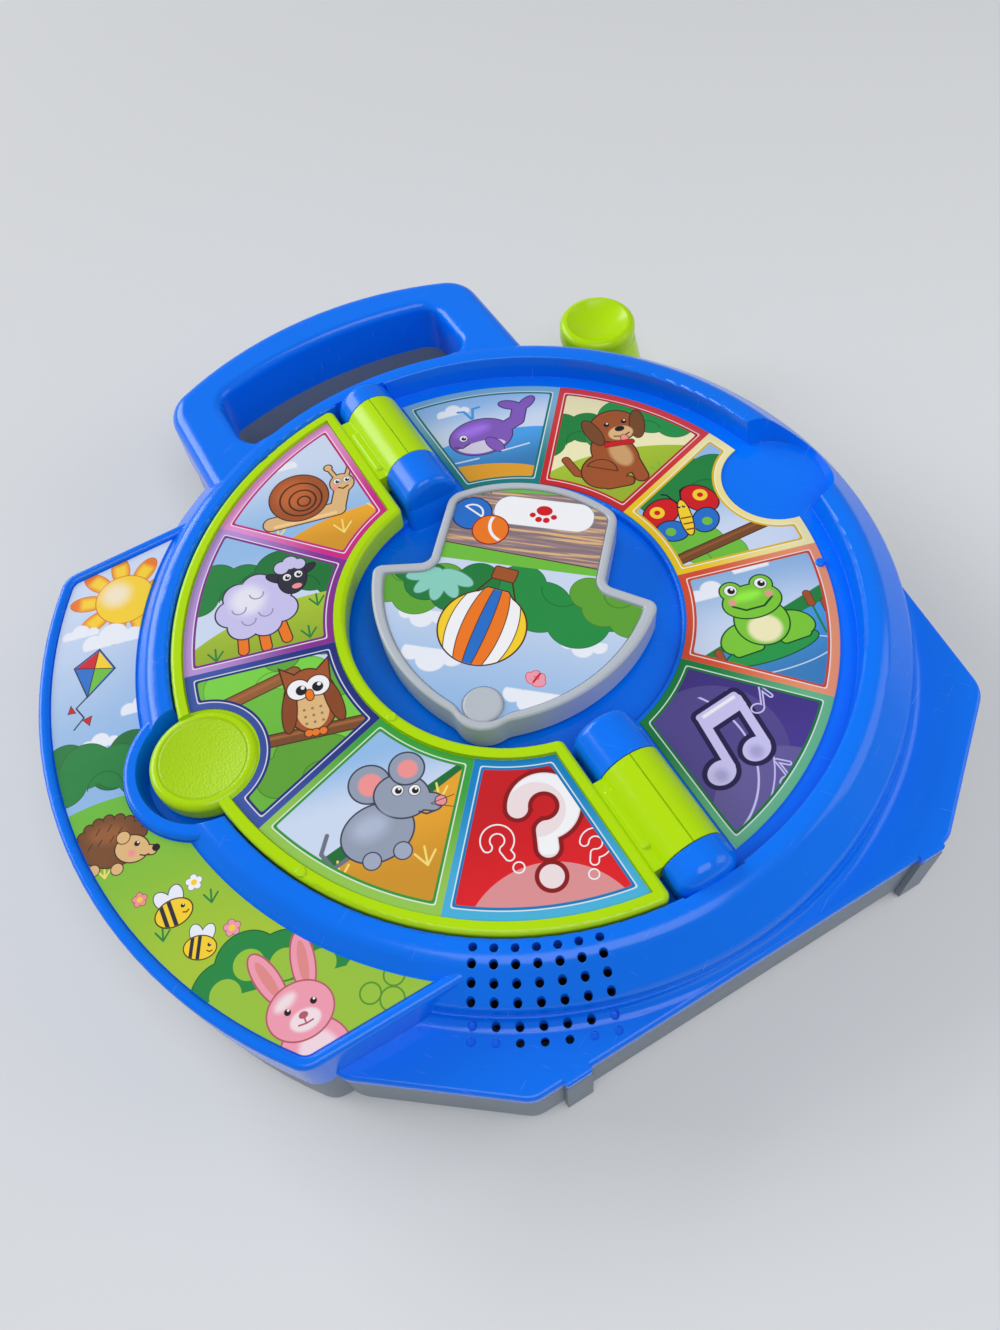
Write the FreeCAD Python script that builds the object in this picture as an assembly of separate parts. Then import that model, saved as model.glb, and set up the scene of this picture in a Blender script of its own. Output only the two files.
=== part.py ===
import FreeCAD, Part

import math
import os

# Animal sound spinner toy, lying on its back.
# Millimetres. Origin: on the spinner axis, in the plane that the toy rests on.
# +Z leaves the picture side, +Y points at the carrying handle, and the page hinge lies along Y.

# ---------------------------------------------------------------- driving dimensions
# heights above the resting plane
PAGE_TOP = 46.0
PAGE_THICK = 8.6
PAGE_GAP = 0.5
WELL_DEPTH = 12.0
SPLIT_Z = 26.0
FLANGE_TOP = 29.5
WING_TOP = 43.0
HANDLE_TOP = 45.4

# moulding
WALL = 2.2
MOULD_GAP = 0.3
SKIN = 0.4

# disc, ring and well
PAGE_R = 100.0
PAGE_INNER_R = 48.5
RECESS_GAP = 0.6
WELL_GAP = 2.0
RING_TOP_DROP = 0.2
RING_LAND = 5.6
RING_BEND_ROUND = 6.0
RING_SLOPE = 42.0
RING_RUN = 9.7
RING_CORNER_ROUND = 3.0
RING_DRAFT = 0.9
RING_LIP_ROUND = 1.0
SKIRT_ROUND = 3.2
WELL_EDGE_ROUND = 0.8

# wing, base flange and handle
WING_REACH = 22.8
WING_TOP_Y = 84.0
WING_LOW_Y = -89.0
WING_CORNER_R = 7.0
WING_RIM = 3.2
WING_ROUND = 1.4
WING_SINK = 1.6
WING_SCREW_INSET = 12.0
WING_SCREW_Y = 34.0
BASE_MARGIN = 2.7
BASE_HALF = 64.0
BASE_CORNER_R = 8.0
BASE_SHOULDER_ROUND = 10.0
BASE_EDGE_ROUND = 1.2
BASE_SHOULDER_INSET = 13.8
BASE_SHOULDER_Y = -90.0
BASE_HIP_INSET = 7.8
BASE_HIP_Y = -44.0
HANDLE_HALF = 59.0
HANDLE_BAR = 15.0
HANDLE_BOW_R = 120.0
HANDLE_CORNER_R = 13.0
HANDLE_ROUND = 5.0
HANDLE_SCREW_RISE = 6.5
GRIP_HALF = 42.0
GRIP_STAND_OFF = 4.9
GRIP_DEPTH = 28.5
GRIP_CORNER_R = 8.0
GRIP_EDGE_ROUND = 3.5

# page and its hinge
HINGE_R = 9.3
BARREL_FROM_WELL = 12.3
BARREL_FROM_RIM = 8.8
KNUCKLE_OVER_WELL = 2.1
KNUCKLE_OVER_RIM = 1.0
KNUCKLE_REACH = 2.6
KNUCKLE_IN_ROUND = 2.4
KNUCKLE_OUT_ROUND = 4.0
SEAM_WIDTH = 0.3
SEAM_DEPTH = 0.3
HINGE_PIN_R = 2.0
PIN_FIT = 0.05
PAGE_EDGE_X = 11.2
LIP_WIDTH = 3.4
LIP_DEPTH = 1.4
LIP_ROUND = 1.3
PAGE_CORNER_R = 2.2
TAB_FROM_RIM = 2.8
TAB_R = 15.4
TAB_ROUND = 2.2
TAB_INSET = 0.5
TAB_DISH_RIM = 2.8
TAB_DISH = 1.4
TAB_NOTCH = 0.3
LEFT_POCKET_R = 19.5
LEFT_POCKET_TAPER = 1.8
RIGHT_POCKET_R = 16.0
RIGHT_POCKET_FLARE = 2.4
POCKET_RIM = 3.5
COLLAR_DROP = 1.8
COLLAR_ROUND = 1.8
RIB_RISE = 0.1
FIELD_INSET = 4.5
FIELD_GAP = 0.8
NUB_R = 1.4
NUB_RISE = 0.3

# pointer
POINTER_ANGLE = 228.0
POINTER_TOP = 46.4
POINTER_BASE = 36.4
POINTER_RIM = 2.6
POINTER_ROUND = 1.1
POINTER_LIP_ROUND = 0.8
POINTER_SINK = 1.2
POINTER_SKIN = 2.2
POINTER_TAIL_R = 44.5
POINTER_TAIL_HALF = 26.5
POINTER_TAIL_ROUND = 6.0
POINTER_NOTCH_X = -9.3
POINTER_NOTCH_ROUND = 3.6
POINTER_BARB_X = -5.5
POINTER_BARB_Y = 43.0
POINTER_BARB_ROUND = 3.0
POINTER_SIDE_X = 26.5
POINTER_SIDE_Y = 28.0
POINTER_TIP_X = 44.0
POINTER_NOSE = 7.5
POINTER_BOSS_X = 36.0
POINTER_BOSS_R = 5.6
SHAFT_R = 7.0
SHAFT_FIT = 0.05
WHEEL_R = 26.0
WHEEL_Z = 25.6
WHEEL_THICK = 2.0
WHEEL_NOTCHES = 12
WHEEL_NOTCH_R = 2.2
TRACK_R = 30.0
WIPER_IN = 13.0
WIPER_OUT = 23.0
WIPER_THICK = 0.5

# lever
LEVER_ANGLE = 46.0
LEVER_PULL = 60.0
LEVER_TOP = 37.0
LEVER_BASE = 8.0
KNOB_STAND_OFF = 0.7
KNOB_R = 13.5
KNOB_ROUND = 2.4
KNOB_RIM = 2.6
KNOB_DISH = 3.6
KNOB_NECK = 7.0
KNOB_FLARE = 2.4
KNOB_DRIFT = 2.6
ARM_Z = 12.5
ARM_THICK = 4.5
ARM_HALF = 7.5
ARM_HUB_R = 12.0
ARM_STEP = 1.0
ARM_RIB = 2.5
ARM_FLANGE = 2.0
ARM_SOCKET = 4.0
ARM_WINDOW_IN = 30.0
ARM_WINDOW_OUT = 84.0
SHIELD_GAP = 0.9
SHIELD_AHEAD = 12.0
POST_R = 6.0
POST_TOP = 19.0
SPRING_WIRE = 1.6
SPRING_TURNS = 4

# housing screws
SCREW_R = 1.5
SCREW_HEAD_R = 3.0
SCREW_HEAD_Z = 12.0
SCREW_LENGTH = 22.0
BOSS_R = 4.2
SCREW_HEAD_THICK = 2.2
SMALL_SCREW_R = 1.2
SMALL_SCREW_FIT = 0.05

# rear shell
REAR_STEP = 0.6
REAR_ROUND = 5.0
HANDLE_BASE_Z = 6.0

# battery bay and cells
BAY_LEFT_X = -78.0
BAY_RIGHT_X = -16.0
BAY_HALF = 18.0
BAY_TOP = 18.8
DOOR_EDGE = 3.0
DOOR_THICK = 2.0
DOOR_SCREW_X = -8.5
DOOR_TAB_HALF = 5.0
CELL_R = 7.25
CELL_LENGTH = 50.5
NIPPLE_R = 2.75
NIPPLE_LENGTH = 1.2

# speaker and circuit board
SPEAKER_R = 20.0
SPEAKER_Z = 13.0
SPEAKER_FROM_FOOT = 18.3
SPEAKER_LIP = 2.5
SPEAKER_ANGLE = 243.4
SPEAKER_FRAME = 3.0
MAGNET_R = 9.5
MAGNET_DEPTH = 7.0
SOUND_HOLE_R = 1.1
SOUND_ROWS = 6
SOUND_COLUMNS = 7
SOUND_FROM_RECESS = 2.5
SOUND_ROW_PITCH = 3.75
SOUND_COLUMN_STEP = 2.87
SOUND_DIMPLE = 0.8
BOARD_Z = 15.0
BOARD_X = 22.0
BOARD_FROM_BASE = 51.5
BOARD_LENGTH = 62.0
BOARD_WIDTH = 36.0
BOARD_THICK = 1.6
BOARD_INSET = 4.0
BLOB_BALL_R = 14.0
BLOB_RISE = 3.0
CAPACITOR_R = 2.5
CAPACITOR_TALL = 6.0
CHIP_SIDE = 6.0
CHIP_TALL = 1.8
PART_PITCH = 9.0

# pads on the standing edge
PAD_RIGHT_X = 57.8
PAD_LEFT_X = -51.8
PAD_HALF = 3.8
PAD_RISE = 1.2
PAD_LOW_Z = 2.0

# ---------------------------------------------------------------- derived sizes
HINGE_Z = PAGE_TOP - PAGE_THICK / 2
PAGE_LOW = PAGE_TOP - PAGE_THICK
FLOOR_Z = PAGE_LOW - PAGE_GAP
WELL_Z = PAGE_TOP - WELL_DEPTH
RECESS_R = PAGE_R + RECESS_GAP
WELL_R = PAGE_INNER_R + WELL_GAP
RING_BEND_R = RECESS_R + RING_LAND
RING_CORNER_R = RING_BEND_R + RING_RUN
RING_FOOT_R = RING_CORNER_R + RING_DRAFT
RING_TOP = PAGE_TOP - RING_TOP_DROP
SLOPE_FALL = math.tan(math.radians(RING_SLOPE))
SLOPE_WALL = WALL / math.cos(math.radians(RING_SLOPE))
WING_FLOOR = WING_TOP - WING_SINK
WING_R = RING_FOOT_R + WING_REACH
BASE_Y = -(RING_FOOT_R + BASE_MARGIN)
BOARD_Y = BASE_Y + BOARD_FROM_BASE
BASE_HIP_X = RING_FOOT_R - BASE_HIP_INSET
BASE_SHOULDER_X = RING_FOOT_R - BASE_SHOULDER_INSET
GRIP_NEAR_R = RECESS_R + GRIP_STAND_OFF
GRIP_FAR_R = GRIP_NEAR_R + GRIP_DEPTH
HANDLE_APEX_Y = GRIP_FAR_R + HANDLE_BAR
BARREL_IN = WELL_R + BARREL_FROM_WELL
BARREL_OUT = PAGE_R - BARREL_FROM_RIM
KNUCKLE_IN = WELL_R - KNUCKLE_OVER_WELL
KNUCKLE_OUT = PAGE_R + KNUCKLE_OVER_RIM
TAB_X = PAGE_R - TAB_FROM_RIM
SPEAKER_RING = RING_FOOT_R - SPEAKER_FROM_FOOT
SOUND_FIRST_R = RECESS_R + SOUND_FROM_RECESS
LEVER_R = RING_FOOT_R + KNOB_STAND_OFF + KNOB_R
TROUGH_R = HINGE_R + 0.5
Z_AXIS = FreeCAD.Vector(0, 0, 1)
X_AXIS = FreeCAD.Vector(1, 0, 0)
Y_AXIS = FreeCAD.Vector(0, 1, 0)
ORIGIN = FreeCAD.Vector(0, 0, 0)


# ---------------------------------------------------------------- helpers
def vec(x, y, z=0.0):
    return FreeCAD.Vector(x, y, z)


def polar(radius, degrees, z=0.0):
    angle = math.radians(degrees)
    return vec(radius * math.cos(angle), radius * math.sin(angle), z)


def cylinder(radius, z0, z1, x=0.0, y=0.0):
    return Part.makeCylinder(radius, z1 - z0, vec(x, y, z0))


def tube(outer, inner, z0, z1, x=0.0, y=0.0):
    return cylinder(outer, z0, z1, x, y).cut(cylinder(inner, z0 - 1, z1 + 1, x, y))


def box(x0, x1, y0, y1, z0, z1):
    return Part.makeBox(x1 - x0, y1 - y0, z1 - z0, vec(x0, y0, z0))


def barrel(radius, y0, y1):
    """A cylinder along the page hinge."""
    return Part.makeCylinder(radius, y1 - y0, vec(0, y0, HINGE_Z), Y_AXIS)


def prism(wire, z0, z1):
    face = Part.Face(wire)
    face.translate(vec(0, 0, z0))
    return face.extrude(vec(0, 0, z1 - z0))


def polygon(points):
    return Part.makePolygon(points + [points[0]])


def arc(start, middle, end):
    return Part.Arc(start, middle, end).toShape()


def line(start, end):
    return Part.LineSegment(start, end).toShape()


def spun(outline, turn=360, start=0):
    """A solid of revolution about the spinner axis from a closed outline in the XZ plane."""
    face = Part.Face(outline)
    face.rotate(ORIGIN, Z_AXIS, start)
    return face.revolve(ORIGIN, Z_AXIS, turn)


def profile(points):
    """A closed outline in the XZ plane from pairs of radius and height."""
    return polygon([vec(radius, 0, z) for radius, z in points])


def rounded(shape, radius, chosen):
    edges = [edge for edge in shape.Edges if chosen(edge)]
    return shape.makeFillet(radius, edges)


def level(z):
    """Picks the edges that lie wholly at one height."""
    return lambda edge: abs(edge.BoundBox.ZMin - z) < 1e-4 and abs(edge.BoundBox.ZMax - z) < 1e-4


def hoop(radius, z):
    """Picks the full circle of one radius about the spinner axis at one height."""
    return lambda edge: level(z)(edge) and abs(edge.BoundBox.XMax - radius) < 1e-3


def upright(edge):
    box_ = edge.BoundBox
    return box_.ZLength > 0.1 and box_.XLength < 1e-4 and box_.YLength < 1e-4


def fused(shapes):
    whole = shapes[0]
    if len(shapes) > 1:
        whole = whole.multiFuse(shapes[1:])
    return whole.removeSplitter()


def ball_radius(rim_r, depth):
    """The ball that presses a dish of one rim radius and depth."""
    return (rim_r ** 2 + depth ** 2) / (2 * depth)


def turned(shape, degrees):
    turned_ = shape.copy()
    turned_.rotate(ORIGIN, Z_AXIS, degrees)
    return turned_


def arc_sector(r0, r1, a0, a1, z0, z1):
    """Part of a flat ring between two angles in degrees."""
    mid = (a0 + a1) / 2
    wire = Part.Wire([
        arc(polar(r1, a0), polar(r1, mid), polar(r1, a1)),
        line(polar(r1, a1), polar(r0, a1)),
        arc(polar(r0, a1), polar(r0, mid), polar(r0, a0)),
        line(polar(r0, a0), polar(r1, a0))])
    return prism(wire, z0, z1)


# ---------------------------------------------------------------- outlines shared by both housings
def wing_outline(inset):
    """The broad rim on the left, bowed about the spinner axis."""
    radius = WING_R - inset
    high = WING_TOP_Y - inset
    low = WING_LOW_Y + inset
    top_x = -math.sqrt(radius ** 2 - high ** 2)
    low_x = -math.sqrt(radius ** 2 - low ** 2)
    inner_x = -RING_FOOT_R / 2
    return Part.Wire([
        line(vec(inner_x, high), vec(top_x, high)),
        arc(vec(top_x, high), vec(-radius, 0), vec(low_x, low)),
        line(vec(low_x, low), vec(inner_x, low)),
        line(vec(inner_x, low), vec(inner_x, high))])


def wing_block(inset, z0, z1):
    block = prism(wing_outline(inset), z0, z1)
    corners = [edge for edge in block.Edges if upright(edge) and edge.BoundBox.XMin < -RING_FOOT_R / 2 - 1]
    return block.makeFillet(WING_CORNER_R - inset, corners)


def base_block(inset, z0, z1):
    """The flat-bottomed foot that the toy stands on when it is held upright."""
    slope = inset * math.tan(math.radians(22.5))
    points = [
        vec(BASE_HIP_X - inset, BASE_HIP_Y),
        vec(BASE_SHOULDER_X - inset, BASE_SHOULDER_Y + slope),
        vec(BASE_HALF - slope, BASE_Y + inset)]
    mirrored = [vec(-p.x, p.y) for p in reversed(points)]
    block = prism(polygon(points + mirrored), z0, z1)
    low = [edge for edge in block.Edges if upright(edge) and edge.BoundBox.YMax < BASE_SHOULDER_Y - 9]
    block = block.makeFillet(BASE_CORNER_R - inset, low)
    shoulders = [edge for edge in block.Edges
                 if upright(edge) and abs(edge.BoundBox.YMax - BASE_SHOULDER_Y - slope) < 1]
    return block.makeFillet(BASE_SHOULDER_ROUND - inset, shoulders)


def handle_block(inset, z0, z1):
    """The solid slab of the handle, from the middle of the disc to its bowed outer edge."""
    half = HANDLE_HALF - inset
    bow = HANDLE_BOW_R - inset
    centre_y = HANDLE_APEX_Y - HANDLE_BOW_R
    corner_y = centre_y + math.sqrt(bow ** 2 - half ** 2)
    root_y = 70.0
    wire = Part.Wire([
        line(vec(half, root_y), vec(half, corner_y)),
        arc(vec(half, corner_y), vec(0, centre_y + bow), vec(-half, corner_y)),
        line(vec(-half, corner_y), vec(-half, root_y)),
        line(vec(-half, root_y), vec(half, root_y))])
    block = prism(wire, z0, z1)
    corners = [edge for edge in block.Edges if upright(edge) and edge.BoundBox.YMin > 80]
    return block.makeFillet(HANDLE_CORNER_R - inset, corners)


def grip_block(outset, z0, z1):
    """The space that the fingers go through."""
    half = GRIP_HALF + outset
    near = GRIP_NEAR_R - outset
    far = GRIP_FAR_R + outset
    near_y = math.sqrt(near ** 2 - half ** 2)
    far_y = math.sqrt(far ** 2 - half ** 2)
    wire = Part.Wire([
        line(vec(half, near_y), vec(half, far_y)),
        arc(vec(half, far_y), vec(0, far), vec(-half, far_y)),
        line(vec(-half, far_y), vec(-half, near_y)),
        arc(vec(-half, near_y), vec(0, near), vec(half, near_y))])
    block = prism(wire, z0, z1)
    corners = [edge for edge in block.Edges if upright(edge)]
    return block.makeFillet(min(GRIP_CORNER_R + outset, 0.45 * (far_y - near_y)), corners)


# ---------------------------------------------------------------- screws and posts
def ring_screw_points():
    boss_ring = (RECESS_R + RING_CORNER_R) / 2
    return [polar(boss_ring, angle) for angle in (146.0, 222.0, 268.0)]


def floor_screw_points():
    """Under the right recess, inside the path of the lever's shield."""
    return [polar(RECESS_R - BOSS_R - 1.4, 316.0)]


def handle_screw_points():
    x = (GRIP_HALF + HANDLE_HALF) / 2
    y = GRIP_NEAR_R + HANDLE_SCREW_RISE
    return [vec(x, y), vec(-x, y)]


def wing_screw_points():
    x = WING_SCREW_INSET - WING_R
    return [vec(x, WING_SCREW_Y), vec(x, -WING_SCREW_Y)]


def screw_points():
    return ring_screw_points() + floor_screw_points() + handle_screw_points() + wing_screw_points()


# ---------------------------------------------------------------- front housing
def slope_z(radius):
    """Height of the ring's slanted side at one radius."""
    return RING_TOP - (radius - RING_BEND_R) * SLOPE_FALL


def slope_radius(z):
    """Radius of the ring's slanted side at one height."""
    return RING_BEND_R + (RING_TOP - z) / SLOPE_FALL


def ring_body():
    """The round body: side wall, slanted ring, page recess and pointer well, all solid."""
    corner_z = slope_z(RING_CORNER_R)
    body = spun(profile([
        (0, SPLIT_Z), (RING_FOOT_R, SPLIT_Z), (RING_CORNER_R, corner_z), (RING_BEND_R, RING_TOP),
        (RECESS_R, RING_TOP), (RECESS_R, FLOOR_Z), (WELL_R, FLOOR_Z), (WELL_R, WELL_Z), (0, WELL_Z)]))
    body = rounded(body, RING_CORNER_ROUND, hoop(RING_CORNER_R, corner_z))
    body = rounded(body, RING_BEND_ROUND, hoop(RING_BEND_R, RING_TOP))
    body = rounded(body, RING_LIP_ROUND, hoop(RECESS_R, RING_TOP))
    body = rounded(body, WELL_EDGE_ROUND, hoop(WELL_R, FLOOR_Z))
    return body.cut(grip_block(0, SPLIT_Z - 1, HANDLE_TOP + 5))


def ring_cavity():
    """The hollow under the ring, the recess floor and the well floor."""
    below = SPLIT_Z - 1
    roof = RING_TOP - WALL
    side = RING_CORNER_R - WALL
    return spun(profile([
        (0, below), (RING_FOOT_R - WALL, below), (side, slope_z(side) - SLOPE_WALL),
        (slope_radius(roof + SLOPE_WALL), roof), (RECESS_R + WALL, roof), (RECESS_R + WALL, FLOOR_Z - WALL),
        (WELL_R + WALL, FLOOR_Z - WALL), (WELL_R + WALL, WELL_Z - WALL), (0, WELL_Z - WALL)]))


def base_skirt():
    """The hollow curve that leads the ring's side down to the base flange."""
    inner = RING_CORNER_R - WALL
    outer = RING_FOOT_R + SKIRT_ROUND
    top = FLANGE_TOP + SKIRT_ROUND
    bow = SKIRT_ROUND * (1 - math.sqrt(0.5))
    outline = Part.Wire([
        line(vec(inner, 0, FLANGE_TOP - 1), vec(outer, 0, FLANGE_TOP - 1)),
        line(vec(outer, 0, FLANGE_TOP - 1), vec(outer, 0, FLANGE_TOP)),
        arc(vec(outer, 0, FLANGE_TOP), vec(RING_FOOT_R + bow, 0, FLANGE_TOP + bow), vec(RING_FOOT_R, 0, top)),
        line(vec(RING_FOOT_R, 0, top), vec(inner, 0, top)),
        line(vec(inner, 0, top), vec(inner, 0, FLANGE_TOP - 1))])
    inside = base_block(BASE_EDGE_ROUND, FLANGE_TOP - 2, FLANGE_TOP + SKIRT_ROUND + 1)
    return spun(outline).common(inside)


def wing_shell():
    """The wing's block with its sunk picture floor and its beaded rim."""
    block = wing_block(0, SPLIT_Z, WING_TOP).cut(wing_block(WING_RIM, WING_FLOOR, WING_TOP + 2))
    return rounded(block, WING_ROUND,
                   lambda edge: level(WING_TOP)(edge) and edge.BoundBox.XMin < -RING_FOOT_R / 2 - 1)


def handle_shell():
    """The handle's slab with its rounded outer edge and the rounded mouth of the finger hole."""
    slab = rounded(handle_block(0, SPLIT_Z, HANDLE_TOP), HANDLE_ROUND, level(HANDLE_TOP))
    slab = slab.cut(grip_block(0, SPLIT_Z - 1, HANDLE_TOP + 5))
    inside = GRIP_HALF + GRIP_EDGE_ROUND
    reach = min(GRIP_EDGE_ROUND, 0.2 * (HANDLE_APEX_Y - GRIP_FAR_R))
    return rounded(slab, reach, lambda edge: level(HANDLE_TOP)(edge) and edge.BoundBox.XMax < inside
                   and edge.BoundBox.XMin > -inside and edge.BoundBox.YMax < GRIP_FAR_R + 1)


def left_pocket_rim():
    """The raised collar round the finger tab's pocket, on the wing side."""
    outer = LEFT_POCKET_R + POCKET_RIM
    low = FLOOR_Z - WALL
    top = PAGE_TOP - COLLAR_DROP
    rim = rounded(cylinder(outer, low, top, -TAB_X), COLLAR_ROUND, level(top))
    return rim.cut(box(-TAB_X, 0, -outer - 1, outer + 1, low - 1, top + 1))


def pocket(side):
    """The opening that the finger tab drops into, left (-1) or right (1), wider at its mouth."""
    floor_r = LEFT_POCKET_R - LEFT_POCKET_TAPER if side < 0 else RIGHT_POCKET_R
    mouth_r = LEFT_POCKET_R if side < 0 else RIGHT_POCKET_R + RIGHT_POCKET_FLARE
    return Part.makeCone(floor_r, mouth_r, PAGE_TOP - FLOOR_Z, vec(side * TAB_X, 0, FLOOR_Z))


def knuckle_pads():
    """The knuckles that carry the hinge pins, with sloping feet down to the well floor."""
    foot_y = KNUCKLE_IN - KNUCKLE_REACH
    back_y = WELL_R + 1
    foot = Part.Face(polygon([
        vec(-HINGE_R, foot_y, WELL_Z - 1), vec(-HINGE_R, back_y, WELL_Z - 1),
        vec(-HINGE_R, back_y, HINGE_Z), vec(-HINGE_R, KNUCKLE_IN, HINGE_Z)]))
    foot = foot.extrude(vec(2 * HINGE_R, 0, 0))
    foot = rounded(foot, KNUCKLE_IN_ROUND,
                   lambda edge: edge.BoundBox.YMax < KNUCKLE_IN + 0.1 and edge.BoundBox.XLength < 0.1)
    inner = barrel(HINGE_R, KNUCKLE_IN, BARREL_IN - MOULD_GAP)
    inner = rounded(inner, KNUCKLE_IN_ROUND, lambda edge: edge.BoundBox.YMax < KNUCKLE_IN + 0.1)
    outer = barrel(HINGE_R, BARREL_OUT + MOULD_GAP, KNUCKLE_OUT)
    outer = rounded(outer, KNUCKLE_OUT_ROUND, lambda edge: edge.BoundBox.YMin > KNUCKLE_OUT - 0.1)
    near = [foot, inner, outer]
    return near + [turned(part, 180) for part in near]


def hinge_trough(radius, y0, y1):
    """The half-round channel under the barrels, closed above by open space."""
    parts = []
    for side in (1, -1):
        low, high = sorted((side * y0, side * y1))
        parts.append(barrel(radius, low, high))
    return parts


def kept_solid():
    """What stays solid in the hollows: screw bosses, shaft bearing, pocket walls and hinge troughs."""
    kept = [cylinder(BOSS_R, SPLIT_Z - 2, PAGE_TOP, p.x, p.y) for p in screw_points()]
    kept.append(cylinder(SHAFT_R + 3.0, WELL_Z - 6.0, WELL_Z))
    kept.append(cylinder(LEFT_POCKET_R + WALL, FLOOR_Z - WALL, PAGE_TOP, -TAB_X))
    kept.append(cylinder(RIGHT_POCKET_R + WALL, FLOOR_Z - WALL, PAGE_TOP, TAB_X))
    kept += hinge_trough(TROUGH_R + WALL, KNUCKLE_IN + 2, KNUCKLE_OUT + 1)
    return fused(kept)


def ring_shell():
    """The round body, hollowed from below."""
    hollow = ring_cavity().cut(grip_block(WALL + 1, SPLIT_Z - 2, HANDLE_TOP + 5)).cut(kept_solid())
    return ring_body().cut(pocket(-1)).cut(pocket(1)).cut(hollow)


def ring_core():
    """The round body drawn in to the middle of its wall, where wing, handle and flange stop."""
    inset = WALL / 2
    side = RING_CORNER_R - inset
    fall = inset / math.cos(math.radians(RING_SLOPE))
    roof = RING_TOP - inset
    core = spun(profile([
        (0, SPLIT_Z - 1), (RING_FOOT_R - inset, SPLIT_Z - 1), (side, slope_z(side) - fall),
        (slope_radius(roof + fall), roof), (0, roof)]))
    return core.fuse(cylinder(RECESS_R + inset, SPLIT_Z, PAGE_TOP + 5))


def outer_shell():
    """Wing, handle and flange, hollowed from below, up to the ring's side."""
    kept = kept_solid()
    wing = wing_shell().cut(wing_block(WALL, SPLIT_Z - 1, WING_FLOOR - WALL).cut(kept))
    handle_hollow = handle_block(WALL, SPLIT_Z - 1, HANDLE_TOP - WALL)
    handle_hollow = handle_hollow.cut(grip_block(WALL, SPLIT_Z - 2, HANDLE_TOP + 5)).cut(kept)
    handle = handle_shell().cut(handle_hollow)
    flange = rounded(base_block(0, SPLIT_Z, FLANGE_TOP), BASE_EDGE_ROUND, level(FLANGE_TOP))
    flange = flange.cut(base_block(WALL, SPLIT_Z - 1, FLANGE_TOP - WALL).cut(kept))
    around = fused([wing, handle, flange, base_skirt(), left_pocket_rim()] + standing_tabs())
    return around.cut(pocket(-1)).cut(ring_core())


def sound_holes():
    """The rows of holes over the speaker, with blind dimples at the ends of the last two."""
    blind = ((4, 0), (4, 6), (5, 0), (5, 1), (5, 5), (5, 6))
    half = (SOUND_COLUMNS - 1) / 2
    holes = []
    for row in range(SOUND_ROWS):
        for column in range(SOUND_COLUMNS):
            radius = SOUND_FIRST_R + SOUND_ROW_PITCH * row
            p = polar(radius, SPEAKER_ANGLE + (column - half) * SOUND_COLUMN_STEP)
            skin = slope_z(radius) if radius < RING_FOOT_R else FLANGE_TOP
            depth = SOUND_DIMPLE if (row, column) in blind else 3 * WALL
            holes.append(cylinder(SOUND_HOLE_R, min(skin, RING_TOP) - depth, PAGE_TOP + 1, p.x, p.y))
    return fused(holes)


def standing_tabs():
    """The two rubbing tabs of the flange on its flat edge."""
    return [rounded(box(x - PAD_HALF, x + PAD_HALF, BASE_Y - PAD_RISE, BASE_Y + 5, SPLIT_Z, FLANGE_TOP),
                    0.8, lambda edge: edge.BoundBox.YMax < BASE_Y) for x in (PAD_LEFT_X, PAD_RIGHT_X)]


def front_housing():
    body = fused([ring_shell(), outer_shell()])
    body = body.cut(fused(hinge_trough(TROUGH_R, KNUCKLE_IN + 4, KNUCKLE_OUT)))
    body = fused([body] + knuckle_pads())
    body = body.cut(fused(hinge_trough(HINGE_PIN_R + PIN_FIT, KNUCKLE_IN + 3, KNUCKLE_OUT - 2)))
    pilots = [cylinder(SCREW_R + PIN_FIT, SPLIT_Z - 1, SCREW_HEAD_Z + SCREW_LENGTH + 1, p.x, p.y)
              for p in screw_points()]
    body = body.cut(fused(pilots)).cut(sound_holes())
    return body.cut(cylinder(SHAFT_R + SHAFT_FIT, SPLIT_Z, WELL_Z + 1))


# ---------------------------------------------------------------- rear housing
def rear_solid(inset, z0):
    """The rear shell's outer form, drawn in by inset and standing on z0."""
    step = REAR_STEP + inset
    round_ = REAR_ROUND - inset * 0.5
    disc = rounded(cylinder(RING_FOOT_R - step, z0, SPLIT_Z), round_, level(z0))
    wing = rounded(wing_block(step, z0, SPLIT_Z), round_, level(z0))
    base = rounded(base_block(step, z0, SPLIT_Z), round_, level(z0))
    handle_z = z0 + HANDLE_BASE_Z
    handle = rounded(handle_block(step, handle_z, SPLIT_Z), round_, level(handle_z))
    return [disc, wing, base, handle]


def compartment(outset, z0, z1):
    side = BAY_HALF + outset
    return box(BAY_LEFT_X - outset, BAY_RIGHT_X + outset, -side, side, z0, z1)


def lever_slot():
    """The slot in the side wall that the lever's arm swings through."""
    spare = math.degrees((ARM_HALF + 1.0) / RING_FOOT_R)
    low = LEVER_ANGLE - LEVER_PULL - spare
    high = LEVER_ANGLE + spare
    return arc_sector(RING_FOOT_R - 8, RING_FOOT_R + 5, low, high, ARM_Z - 1.0, ARM_Z + ARM_THICK + 1.0)


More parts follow.
